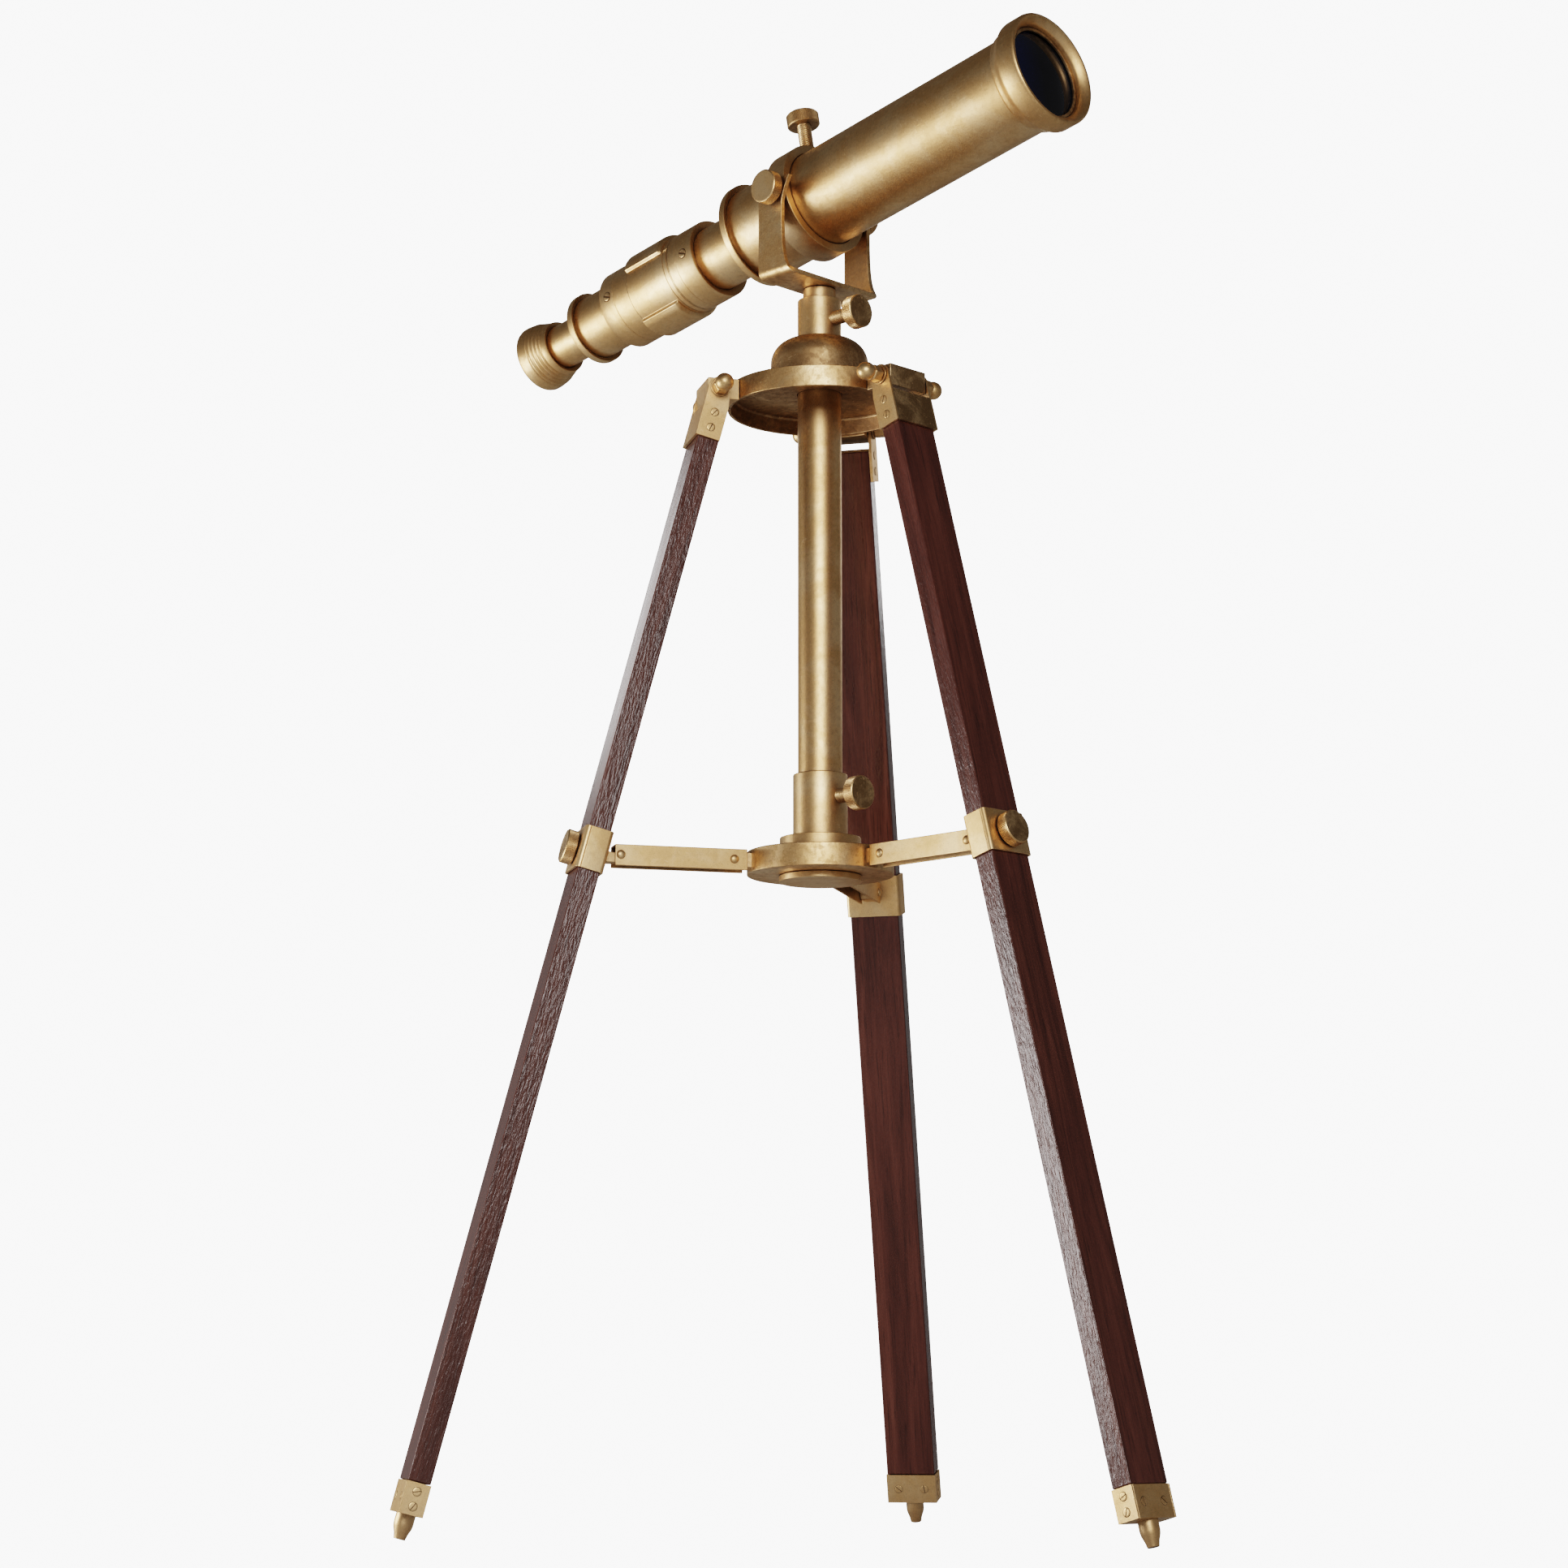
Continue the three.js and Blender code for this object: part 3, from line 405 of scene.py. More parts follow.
def aged_brass(
    name,
    patina,
    roughness,
    clean=CLEAN_BRASS,
    dull=BROWN_PATINA,
    pale=PALE_BRASS,
    relief=1.0,
    fineness=1.0,
):
    """Brass with cloudy patina, fine dark pits, pale scuffs, painted shade where it is sheltered,
    tarnish and painted shade in its corners, and bright edges. patina is the share that has gone brown."""
    material, tree, shader = new_material(name)
    plain = stretched(tree, (1, 1, 1))
    clouds = noise(tree, plain, CLOUD_SCALE * fineness, 5, 0.6, 0.5)
    mottle = noise(tree, plain, MOTTLE_SCALE * fineness, 5, 0.68, 0.3)
    grain = noise(tree, plain, GRAIN_SCALE * fineness, 3, 0.6)
    brushing = noise(tree, stretched(tree, (1, 1, 0.12)), BRUSHING_SCALE, 2, 0.5, 0.4)
    scuffs = noise(tree, stretched(tree, (0.35, 0.8, 1)), SCUFF_SCALE, 2, 0.4, 1.8)

    cloudy = ramp(tree, clouds, [(0.42, 0.0), (0.66, 0.75)])
    spotted = ramp(tree, mottle, [(0.46, 0.0), (0.66, 0.8)])
    dullness = math_node(tree, "ADD", cloudy, spotted)
    dullness = math_node(tree, "MULTIPLY", dullness, patina)
    tone = ramp(tree, clouds, [(0.35, pale), (0.55, clean)])
    colour = mix_colours(tree, dullness, tone, dull)
    pit_mask = ramp(tree, grain, [(0.28, 0.35), (0.45, 0.0)])
    colour = mix_colours(tree, pit_mask, colour, OLIVE_PATINA)
    scuff_mask = ramp(tree, scuffs, [(0.66, 0.0), (0.72, 0.6)])
    colour = mix_colours(tree, scuff_mask, colour, pale)
    # Painted shade: the colour turns dull grey-brown where another surface lies within 60 mm.
    sheltered = ramp(tree, crevices(tree, 60 * MM), [(0.25, 0.0), (0.75, 0.6)])
    colour = mix_colours(tree, sheltered, colour, SHELTERED_PAINTED_SHADE)
    # Tarnish in corners within 5 mm of another surface, which also paints the shade there.
    corner = ramp(tree, crevices(tree, 5 * MM), [(0.35, 0.0), (0.9, 0.6)])
    colour = mix_colours(tree, corner, colour, CORNER_TARNISH_AND_SHADE)
    edge = ramp(tree, worn_edges(tree, 0.4 * MM), [(0.04, 0.0), (0.25, 0.45)])
    colour = mix_colours(tree, edge, colour, pale)
    link(tree, colour, shader.inputs["Base Color"])

    rough = ramp(tree, dullness, [(0.0, roughness), (1.0, roughness + 0.18)])
    rough = mix_colours(tree, scuff_mask, rough, (roughness + 0.1,) * 3)
    link(tree, rough, shader.inputs["Roughness"])
    shader.inputs["Metallic"].default_value = 1.0

    normal = bump(tree, mottle, 0.18 * relief, 0.5 * MM)
    normal = bump(tree, grain, 0.16 * relief, 0.16 * MM, normal)
    normal = bump(tree, brushing, 0.10 * relief, 0.10 * MM, normal)
    link(tree, normal, shader.inputs["Normal"])
    return material


def mahogany(name, seed, ripple):
    """Dark open-grained mahogany under varnish. ripple is the depth of the grain's relief."""
    material, tree, shader = new_material(name)
    offset = (seed * 0.37, seed * 0.61, seed * 0.23)
    along = stretched(tree, (1, 1, 0.07), offset)
    figure = noise(tree, along, FIGURE_SCALE, 5, 0.65, 1.6)
    pores = noise(tree, stretched(tree, (1, 1, 0.035), offset), PORE_SCALE, 3, 0.7, 0.6)
    waves = noise(tree, stretched(tree, (1, 1, 0.2), offset), WAVE_SCALE, 2, 0.5, 0.4)
    stops = [
        (0.25, (0.066, 0.021, 0.015)),
        (0.50, (0.125, 0.041, 0.028)),
        (0.75, (0.190, 0.068, 0.047)),
    ]
    colour = ramp(tree, figure, stops)
    dark = ramp(tree, pores, [(0.34, 0.7), (0.46, 0.0)])
    colour = mix_colours(tree, dark, colour, (0.045, 0.014, 0.010))
    edge = ramp(tree, worn_edges(tree, 1.2 * MM), [(0.03, 0.0), (0.3, 0.4)])
    colour = mix_colours(tree, edge, colour, (0.26, 0.11, 0.075))
    link(tree, colour, shader.inputs["Base Color"])
    link(tree, ramp(tree, figure, [(0.3, 0.26), (0.8, 0.38)]), shader.inputs["Roughness"])
    shader.inputs["Coat Weight"].default_value = 0.3 + 0.4 * ripple
    shader.inputs["Coat Roughness"].default_value = 0.18
    relief = bump(tree, waves, ripple, 0.5 * MM)
    relief = bump(tree, pores, 0.15, 0.25 * MM, relief)
    link(tree, relief, shader.inputs["Normal"])
    link(tree, relief, shader.inputs["Coat Normal"])
    return material


def glass_painted_reflection(name):
    """Near-black glass in front of a dark tube, with a painted blue reflection towards one side and a painted grey
    one towards the other.
    """
    material, tree, shader = new_material(name)
    across = stretched(tree, (1, 1, 1))
    parts = add_node(tree, "ShaderNodeSeparateXYZ")
    link(tree, across, parts.inputs["Vector"])
    side = add_node(tree, "ShaderNodeMapRange")
    side.inputs["From Min"].default_value = -30 * MM
    side.inputs["From Max"].default_value = 30 * MM
    link(tree, parts.outputs["Y"], side.inputs["Value"])
    cloud = noise(tree, across, 60, 2, 0.5)
    stops = [
        (0.0, (0.008, 0.012, 0.06)),
        (0.5, (0.002, 0.002, 0.005)),
        (0.7, (0.002, 0.002, 0.005)),
        (1.0, (0.03, 0.035, 0.045)),
    ]
    # Painted reflection across the lens: blue at one side, black in the middle, grey at the other.
    painted_reflection = ramp(tree, side.outputs["Result"], stops)
    dusted = mix_colours(tree, ramp(tree, cloud, [(0.45, 0.0), (0.9, 0.2)]), painted_reflection, (0.02, 0.02, 0.024))
    link(tree, dusted, shader.inputs["Base Color"])
    link(tree, ramp(tree, cloud, [(0.3, 0.03), (0.8, 0.07)]), shader.inputs["Roughness"])
    shader.inputs["IOR"].default_value = 1.5
    shader.inputs["Coat Weight"].default_value = 0.5
    shader.inputs["Coat Roughness"].default_value = 0.02
    return material


def pale_floor(name):
    """A pale floor that the camera sees as one seamless backdrop with the wall behind it."""
    material, tree, shader = new_material(name)
    speckle = noise(tree, stretched(tree, (1, 1, 1)), 30, 6, 0.6)
    link(tree, ramp(tree, speckle, [(0.2, 0.84), (0.8, 0.88)]), shader.inputs["Base Color"])
    shader.inputs["Roughness"].default_value = 0.9
    shader.inputs["Specular IOR Level"].default_value = 0.1
    backdrop = add_node(tree, "ShaderNodeEmission")
    backdrop.inputs["Color"].default_value = (BACKDROP_LEVEL,) * 3 + (1,)
    choice = camera_rays_see(tree, shader.outputs["BSDF"], backdrop.outputs["Emission"])
    link(tree, choice, tree.nodes["Material Output"].inputs["Surface"])
    return material


POLISHED = aged_brass("brass_polished", patina=0.26, roughness=0.40)
MOTTLED = aged_brass("brass_mottled", patina=0.62, roughness=0.38, relief=1.5)
SHEET = aged_brass(
    "brass_sheet", patina=0.22, roughness=0.42, clean=(0.90, 0.59, 0.30), relief=0.7
)
KNURLED = aged_brass("brass_knurled", patina=0.45, roughness=0.40, relief=0.4)
# Browned brass for the dome and the sleeve screw heads; on the top plate's underside it is painted shade.
BROWNED_AND_SHADED = aged_brass(
    "brass_browned_and_shaded",
    patina=0.8,
    roughness=0.42,
    clean=(0.58, 0.37, 0.19),
    dull=(0.34, 0.20, 0.10),
)
DARK_FACED = aged_brass(
    "brass_dark",
    patina=0.7,
    roughness=0.42,
    clean=(0.46, 0.30, 0.16),
    dull=(0.34, 0.22, 0.115),
    fineness=2.0,
)
# A dark brass that paints the shade in screw recesses and slots.
RECESS_PAINTED_SHADE = aged_brass(
    "brass_recess_painted_shade",
    patina=0.9,
    roughness=0.55,
    clean=(0.16, 0.10, 0.055),
    dull=(0.09, 0.055, 0.03),
    pale=OLIVE_PATINA,
    relief=0.4,
)
GLASS = glass_painted_reflection("glass_painted_reflection")
WOOD_FACE = {}
WOOD_SIDE = {}
for number, leg in enumerate(LEGS):
    WOOD_FACE[leg] = mahogany(f"wood_face_{leg}", seed=number + 1, ripple=0.10)
for number, leg in enumerate(LEGS):
    WOOD_SIDE[leg] = mahogany(f"wood_side_{leg}", seed=number + 5, ripple=0.7)


# ---- Adding pieces ----


def add_piece(node, mesh, place, material, bevel=0.4, sharp=35, extra=()):
    """Turns a mesh in millimetres into a finished piece that stands for a CAD node."""
    bmesh.ops.recalc_face_normals(mesh, faces=mesh.faces)
    mesh.transform(Matrix.Scale(MM, 4))
    name = f"{node}_finished"
    data = bpy.data.meshes.new(name)
    mesh.to_mesh(data)
    mesh.free()
    for each in (material, *extra):
        data.materials.append(each)
    data.shade_smooth()
    data.set_sharp_from_angle(angle=math.radians(sharp))
    piece = bpy.data.objects.new(name, data)
    piece.matrix_world = place
    bpy.context.scene.collection.objects.link(piece)
    if bevel:
        rounding = piece.modifiers.new("edges", "BEVEL")
        rounding.width = bevel * MM
        rounding.segments = 2
        rounding.limit_method = "ANGLE"
        rounding.angle_limit = math.radians(sharp)
        rounding.harden_normals = True
    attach(piece, body_of[node])
    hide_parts(node)
    return piece


def add_turned(node, profile, place, material=POLISHED, bevel=0.4, segments=96):
    return add_piece(node, lathe(bmesh.new(), profile, segments), place, material, bevel)


# ---- Thumbscrews ----

KNOB_RADIUS = 10.9
THREAD_RADIUS = 4.8


def add_knob(node, mesh, place, face):
    """A knob about Z. Its edge and shank are lighter than its flat face."""
    bmesh.ops.recalc_face_normals(mesh, faces=mesh.faces)
    for each in mesh.faces:
        if abs(each.normal.z) < 0.9:
            each.material_index = 1
    return add_piece(node, mesh, place, face, bevel=0, extra=(KNURLED,))


def thumbscrew(node, place, tip, face, thickness=8.0):
    """A knurled head whose face is at height face, on a threaded shank that starts at tip."""
    seat = face - thickness
    mesh = knurled_disc(bmesh.new(), KNOB_RADIUS, seat, face)
    threaded_rod(mesh, THREAD_RADIUS, tip, seat + 1)
    return add_knob(node, mesh, place, DARK_FACED)


def trunnion_screw(node, side, head):
    """A screw through a yoke arm. head adds the part outside the arm to the mesh."""
    mesh = lathe(bmesh.new(), [(0, 33.2), (3.4, 33.2), (3.4, 43.5), (0, 43.5)], 32)
    head(mesh)
    place = YOKE_FRAME @ moved(z=TRUNNION_HEIGHT) @ turned_about("X", -90 * side)
    return add_knob(node, mesh, place, SHEET)


def knob_head(mesh):
    lathe(mesh, [(0, 42.9), (6.5, 42.9), (6.5, 46.2), (0, 46.2)], 64)
    knurled_disc(mesh, KNOB_RADIUS, 45.6, 53.6)


def nut_head(mesh):
    knurled_disc(mesh, 9.2, 42.9, 48.8, teeth=60)


# ---- Tripod head, post and hub ----

POST_BORE = 14.58
ARM_PIVOTS = (58.3, 131.6)
EYE_RADIUS = 4.8
EYE_HALF_WIDTH = 5.2


def build_head():
    plate = [
        (POST_BORE, 729.3),
        (56.6, 729.3),
        (57.8, 728.2),
        (57.8, 718.5),
        (60, 718.5),
        (60, 732.3),
        (POST_BORE, 732.3),
    ]
    mesh = lathe(bmesh.new(), plate, 160)
    bmesh.ops.recalc_face_normals(mesh, faces=mesh.faces)
    # Faces turned down or towards the axis (the underside, the rim's inner wall and the bore) take the darker
    # brass as painted shade.
    for each in mesh.faces:
        if each.normal.dot(each.calc_center_median()) < -1:
            each.material_index = 1
    add_piece("top_plate", mesh, STAND_FRAME, MOTTLED, 0.5, extra=(BROWNED_AND_SHADED,))
    shoulder = arc(15.9, 749.8, 16, 0, 90, 14)
    dome = [(POST_BORE, 732.6), (31.9, 732.6), *shoulder, (POST_BORE, 765.8)]
    add_turned("dome_collar", dome, STAND_FRAME, BROWNED_AND_SHADED, 0.4, 128)


def build_post():
    profile = [(0, 412.2), (14.28, 412.2), (14.28, 793), (11, 793), (11, 761), (0, 761)]
    add_turned("centre_post", profile, STAND_FRAME, POLISHED, 0.5)
    place = moved(z=AZIMUTH_SCREW_HEIGHT) @ turned_about("Y", 90)
    thumbscrew("azimuth_thumbscrew", place, 11, 38)


def build_hub():
    disc = [(POST_BORE, 412.1), (47, 412.1), (47, 426.9), (POST_BORE, 426.9)]
    hub = lathe(bmesh.new(), disc, 160)
    for index in range(3):
        lug = bmesh.new()
        eye = arc(ARM_PIVOTS[0], ARM_HEIGHT, EYE_RADIUS, -90, 90, 8)
        outline = [(44, 424.4), (44, 414.8), *eye]
        prism(lug, [(z, x) for x, z in outline], -EYE_HALF_WIDTH, EYE_HALF_WIDTH, "y")
        lug.transform(turned_about("Z", 120 * index))
        merge_into(hub, lug)
    add_piece("hub", hub, STAND_FRAME, MOTTLED, 0.6)
    flange = [(POST_BORE, 427.2), (26, 427.2), (26, 436.3), (POST_BORE, 436.3)]
    add_turned("hub_flange", flange, STAND_FRAME)
    cap = [(0, 407.8), (26.5, 407.8), (26.5, 411.8), (0, 411.8)]
    add_turned("hub_cap", cap, STAND_FRAME)
    socket = [(POST_BORE, 436.6), (17.5, 436.6), (17.5, 477.4), (POST_BORE, 477.4)]
    add_turned("lower_socket", socket, STAND_FRAME, POLISHED, 0.7)
    place = moved(z=LOWER_SCREW_HEIGHT) @ turned_about("Y", 90)
    thumbscrew("lower_thumbscrew", place, 14.6, 38)


# ---- Legs ----

LEG_X = (-9.1, 5.1)
LEG_HALF_WIDTH = 16.6
# The front fittings of leg a are darker than those of the other legs.
FRONT_BRASS = {"a": DARK_FACED, "b": SHEET, "c": SHEET}


def side_screw(mesh, x, z, half_width, slot_angle):
    """A slotted screw on each of the two side faces of a leg fitting."""
    for side in (1, -1):
        place = (
            Matrix.Translation((x, side * half_width, z))
            @ turned_about("X", -90 * side)
            @ turned_about("Z", slot_angle)
        )
        slotted_screw(mesh, place, **FITTING_SCREW)


def hinge_block(leg):
    """The block's inner face follows the rim of the top plate."""
    half_width, rim_radius = 16.3, 60.3
    spread = math.degrees(math.asin(half_width / rim_radius))
    rim = arc(0, 0, rim_radius, spread, -spread, 16)
    outline = [(79, -half_width), (79, half_width), *rim]
    mesh = prism(bmesh.new(), outline, 717.3, 731.2)
    add_piece(f"hinge_block_{leg}", mesh, ARM_FRAMES[leg], FRONT_BRASS[leg], 0.6)


def hinge_pin(leg):
    mesh = bmesh.new()
    lathe(mesh, [(0, -26), (3, -26), (3, 26), (0, 26)], 32)
    for side in (1, -1):
        nut = bmesh.new()
        lathe(nut, [(0, 19.1), (6.2, 19.1), (6.2, 19.9), (0, 19.9)], 48)
        lathe(nut, [(0, 19.9), (5.0, 19.9), (5.6, 20.5), (5.6, 26.4), (4.6, 27.4), (0, 27.4)], 6)
        ball(nut, 5.9, 0, 0, 31.2)
        nut.transform(turned_about("Y", 90 - 90 * side))
        merge_into(mesh, nut)
    place = PIN_FRAMES[leg] @ turned_about("X", -90)
    add_piece(f"hinge_pin_{leg}", mesh, place, POLISHED, 0.35)


def leg_bracket(leg):
    inside = LEG_HALF_WIDTH + 0.3
    outside = inside + 1.9
    face = LEG_X[1] + 0.3
    cheek = arc(0, 0, 7.2, 180, 0, 16)
    cheek += [(face + 1.6, -12), (face + 1.6, -34.5), (LEG_X[0], -34.5), (LEG_X[0], -12)]
    mesh = bmesh.new()
    for side in (1, -1):
        low, high = sorted((side * inside, side * outside))
        prism(mesh, [(z, x) for x, z in cheek], low, high, "y")
    cover = box(bmesh.new(), (face, face + 1.6), (-inside - 0.4, inside + 0.4), (-34.5, -12))
    for each in cover.faces:
        each.material_index = 2
    merge_into(mesh, cover)
    for z, slot_angle in ((-17, 60), (-27.5, 78)):
        side_screw(mesh, -1.2, z, outside, slot_angle)
    # The screws' recess discs take the painted shade material; the cover takes the front brass.
    extra = (RECESS_PAINTED_SHADE, FRONT_BRASS[leg])
    add_piece(f"leg_bracket_{leg}", mesh, LEG_FRAMES[leg], SHEET, 0.4, extra=extra)


def wooden_leg(leg):
    """The two narrow faces have the deeper varnish ripple."""
    mesh = box(bmesh.new(), LEG_X, (-LEG_HALF_WIDTH, LEG_HALF_WIDTH), (-712.9, -14))
    bmesh.ops.recalc_face_normals(mesh, faces=mesh.faces)
    for each in mesh.faces:
        if abs(each.normal.y) > 0.9:
            each.material_index = 1
    place = LEG_FRAMES[leg]
    add_piece(f"leg_{leg}", mesh, place, WOOD_FACE[leg], 0.8, extra=(WOOD_SIDE[leg],))


def foot_cap(leg):
    """A box with a fine seam down each side of its front face."""
    half_width = LEG_HALF_WIDTH + 0.5
    depth = (LEG_X[0] - 0.5, LEG_X[1] + 0.5)
    corner_and_seam = [
        (depth[1], half_width - 1.5),
        (depth[1] - 0.5, half_width - 1.2),
        (depth[1], half_width - 0.9),
        (depth[1], half_width),
        (depth[0], half_width),
    ]
    outline = [(x, -y) for x, y in reversed(corner_and_seam)] + corner_and_seam
    mesh = prism(bmesh.new(), outline, -732.6, -713.2)
    for z, slot_angle in ((-718.5, 20), (-727.5, 65)):
        side_screw(mesh, -2, z, half_width, slot_angle)
    for face, turn in ((depth[1], 90), (depth[0], -90)):
        for y, slot_angle in ((-9, 10), (9, 50)):
            place = (
                Matrix.Translation((face, y, -723))
                @ turned_about("Y", turn)
                @ turned_about("Z", slot_angle)
            )
            slotted_screw(mesh, place, **FITTING_SCREW)
    # The screws' recess discs take the painted shade material.
    add_piece(f"foot_cap_{leg}", mesh, LEG_FRAMES[leg], SHEET, 0.5, extra=(RECESS_PAINTED_SHADE,))


def foot_spike(leg, tip):
    profile = [
        (0, tip),
        (3.5, tip),
        (4.3, tip + 3.5),
        (5.6, tip + 7),
        (6, tip + 9.5),
        (6, -732),
        (0, -732),
    ]
    place = LEG_FRAMES[leg] @ moved(x=-2)
    add_turned(f"foot_spike_{leg}", profile, place, SHEET, 0.3, 64)


def band_outline(x, half_width, corner, seam):
    """A rounded rectangle with a seam of that depth on each side, behind the front corners."""
    points = rounded_rectangle(x, (-half_width, half_width), corner, 6)
    middle = len(points) // 2
    notch = ((4.2, half_width), (4.0, half_width - seam), (3.8, half_width))
    near_side = [(u, -v) for u, v in reversed(notch)]
    return points[:middle] + list(notch) + points[middle:] + near_side


def leg_clamp(leg):
    low, high = -327.1, -299.7
    outer = band_outline((-11, 7), 18.5, 2.4, 0.55)
    inner = band_outline((-9.4, 5.4), 16.9, 0.4, 0)
    loops = [(outer, low), (outer, high), (inner, high), (inner, low)]
    mesh = bmesh.new()
    skin(mesh, [[Vector((x, y, z)) for x, y in outline] for outline, z in loops], closed=True)
    eye = arc(-20.5, -309.6, EYE_RADIUS, 270, 90, 8)
    outline = [(-10.2, -317.1), *eye, (-16, -309.4), (-10.2, -309.4)]
    prism(mesh, [(z, x) for x, z in outline], -EYE_HALF_WIDTH, EYE_HALF_WIDTH, "y")
    add_piece(f"leg_clamp_{leg}", mesh, LEG_FRAMES[leg], SHEET, 0.45)


def clamp_knob(leg):
    mesh = knurled_disc(bmesh.new(), KNOB_RADIUS, 2.3, 9.7)
    lathe(mesh, [(0, 1.65), (5.5, 1.65), (5.5, 3.2), (0, 3.2)], 48)
    place = LEG_FRAMES[leg] @ moved(x=5.4, z=-313.4) @ turned_about("Y", 90)
    add_knob(f"clamp_knob_{leg}", mesh, place, DARK_FACED)


def spreader_arm(leg):
    """A channel open below, with a domed rivet at each end."""
    outside, inside = 7, 5.6
    bottom, top, sheet = 412.7, 426.2, 1.4
    outline = [
        (-outside, bottom),
        (-inside, bottom),
        (-inside, top - sheet),
        (inside, top - sheet),
        (inside, bottom),
        (outside, bottom),
        (outside, top),
        (-outside, top),
    ]
    mesh = prism(bmesh.new(), outline, 49.8, 135.2, "x")
    dome = []
    for step in range(6):
        angle = math.pi / 2 * step / 6
        dome.append((2.9 * math.cos(angle), outside + 1.6 * math.sin(angle)))
    lower = [(radius, -height) for radius, height in reversed(dome)]
    for pivot in ARM_PIVOTS:
        rivet = bmesh.new()
        lathe(rivet, [(0, -8.6), *lower, (2.1, -6), (2.1, 6), *dome, (0, 8.6)], 32)
        rivet.transform(Matrix.Translation((pivot, 0, ARM_HEIGHT)) @ turned_about("X", 90))
        merge_into(mesh, rivet)
    add_piece(f"spreader_arm_{leg}", mesh, ARM_FRAMES[leg], SHEET, 0.4)


def build_leg(leg):
    pin_height = joint_vector(f"leg_fold_{leg}", "pos_m").z / MM
    down = joint_vector(f"clamp_slide_{leg}")
    lean = math.sqrt(1 - down.z**2)
    # The rim of the flat tip, 5.5 mm inside the leg's axis, stands on the floor.
    tip = (pin_height - 5.5 * lean) / down.z
    hinge_block(leg)
    hinge_pin(leg)
    leg_bracket(leg)
    wooden_leg(leg)
    foot_cap(leg)
    foot_spike(leg, tip)
    leg_clamp(leg)
    clamp_knob(leg)
    spreader_arm(leg)


# ---- Yoke ----

YOKE_HALF_SPAN = 42.6
YOKE_SHEET = 3.4
YOKE_LOW = 800.9
YOKE_BEND = 5.0
YOKE_DEPTH = 14.3


def cubic(points, t):
    """A point of a Bezier curve with any number of control points."""
    while len(points) > 1:
        points = [a.lerp(b, t) for a, b in zip(points, points[1:])]
    return points[0]


def arm_edge():
    """(front x, height) pairs up the hollowed front edge of a yoke arm."""
    low = [Vector((14.3, 804.3)), Vector((6.2, 806)), Vector((6.4, 832)), Vector((6.3, 849))]
    high = [Vector((6.3, 849)), Vector((7.2, 857)), Vector((13.4, 866.8))]
    curve = [cubic(low, i / 14) for i in range(15)]
    curve += [cubic(high, i / 8) for i in range(1, 9)]
    return [(point.x, point.y) for point in curve]


def yoke():
    """The strip's cross sections follow its path from one arm top to the other."""
    inner_half = YOKE_HALF_SPAN - YOKE_SHEET
    sections = []
    for front, height in reversed(arm_edge()):
        if height > YOKE_LOW + YOKE_BEND:
            sections.append((front, (YOKE_HALF_SPAN, height), (inner_half, height)))
    bend_front = sections[-1][0]
    centre = (YOKE_HALF_SPAN - YOKE_BEND, YOKE_LOW + YOKE_BEND)
    for i in range(9):
        angle = -math.pi / 2 * i / 8
        c, s = math.cos(angle), math.sin(angle)
        outer = (centre[0] + YOKE_BEND * c, centre[1] + YOKE_BEND * s)
        short = YOKE_BEND - YOKE_SHEET
        inner = (centre[0] + short * c, centre[1] + short * s)
        front = bend_front + (YOKE_DEPTH - bend_front) * (i / 8) ** 0.6
        sections.append((front, outer, inner))
    mirrored = [(f, (-o[0], o[1]), (-n[0], n[1])) for f, o, n in reversed(sections)]
    loops = []
    for front, outer, inner in sections + mirrored:
        loops.append(
            [
                Vector((-YOKE_DEPTH, outer[0], outer[1])),
                Vector((front, outer[0], outer[1])),
                Vector((front, inner[0], inner[1])),
                Vector((-YOKE_DEPTH, inner[0], inner[1])),
            ]
        )
    add_piece("yoke", skin(bmesh.new(), loops), YOKE_FRAME, MOTTLED, 0.45)


def build_yoke():
    yoke()
    spigot = [(0, 762), (10.7, 762), (10.7, 800.6), (0, 800.6)]
    add_turned("yoke_spigot", spigot, YOKE_FRAME)
    trunnion_screw("trunnion_knob", -1, knob_head)
    trunnion_screw("trunnion_nut", 1, nut_head)


# ---- Telescope ----

TUBE_RADIUS = 31.8
DRAW_RADIUS = 21.95
SLIM_RADIUS = 15.2
COLLAR_RADIUS = 27.45


def pipe(outer, wall, rear, front):
    return [(outer - wall, rear), (outer, rear), (outer, front), (outer - wall, front)]


def end_ring(outer, wall, lip, rear, bore, bush_front):
    """A ring that closes a tube's rear end: a lip with a dished front face and a guide bush."""
    over = outer + 0.3
    front = rear + 5.2
    inside = outer - wall - 0.3
    return [
        (bore, rear),
        (lip - 0.8, rear),
        (lip - 0.2, rear + 0.3),
        (lip, rear + 0.9),
        (lip, front - 0.5),
        (lip - 0.3, front - 0.1),
        (lip - 0.7, front - 0.3),
        (over + 0.4, front - 1.7),
        (over, front - 1.7),
        (over, rear + 1.2),
        (inside, rear + 1.2),
        (inside, bush_front),
        (bore, bush_front),
    ]


def add_dished(node, profile):
    """A turned piece on the optical axis with crisp edges round a dished front face."""
    return add_piece(node, lathe(bmesh.new(), profile, 144), TUBE_FRAME, POLISHED, 0)


def build_main_tube():
    add_turned("main_tube", pipe(TUBE_RADIUS, 1.8, -57, 186), TUBE_FRAME, POLISHED, 0.3, 160)
    cradle = [
        (32.1, -13.5),
        (35.9, -13.5),
        (37.2, -12.9),
        (37.9, -11.5),
        (37.9, 5),
        (32.1, 5),
    ]
    add_turned("cradle_ring", cradle, TUBE_FRAME, POLISHED, 0.5, 160)
    place = TUBE_FRAME @ moved(z=-3) @ turned_about("Y", -90)
    thumbscrew("cradle_thumbscrew", place, 32.1, 65.5, thickness=8.5)
    ring = end_ring(TUBE_RADIUS, 1.8, 35.8, -58.5, DRAW_RADIUS + 0.3, -28)
    add_dished("rear_flange_ring", ring)


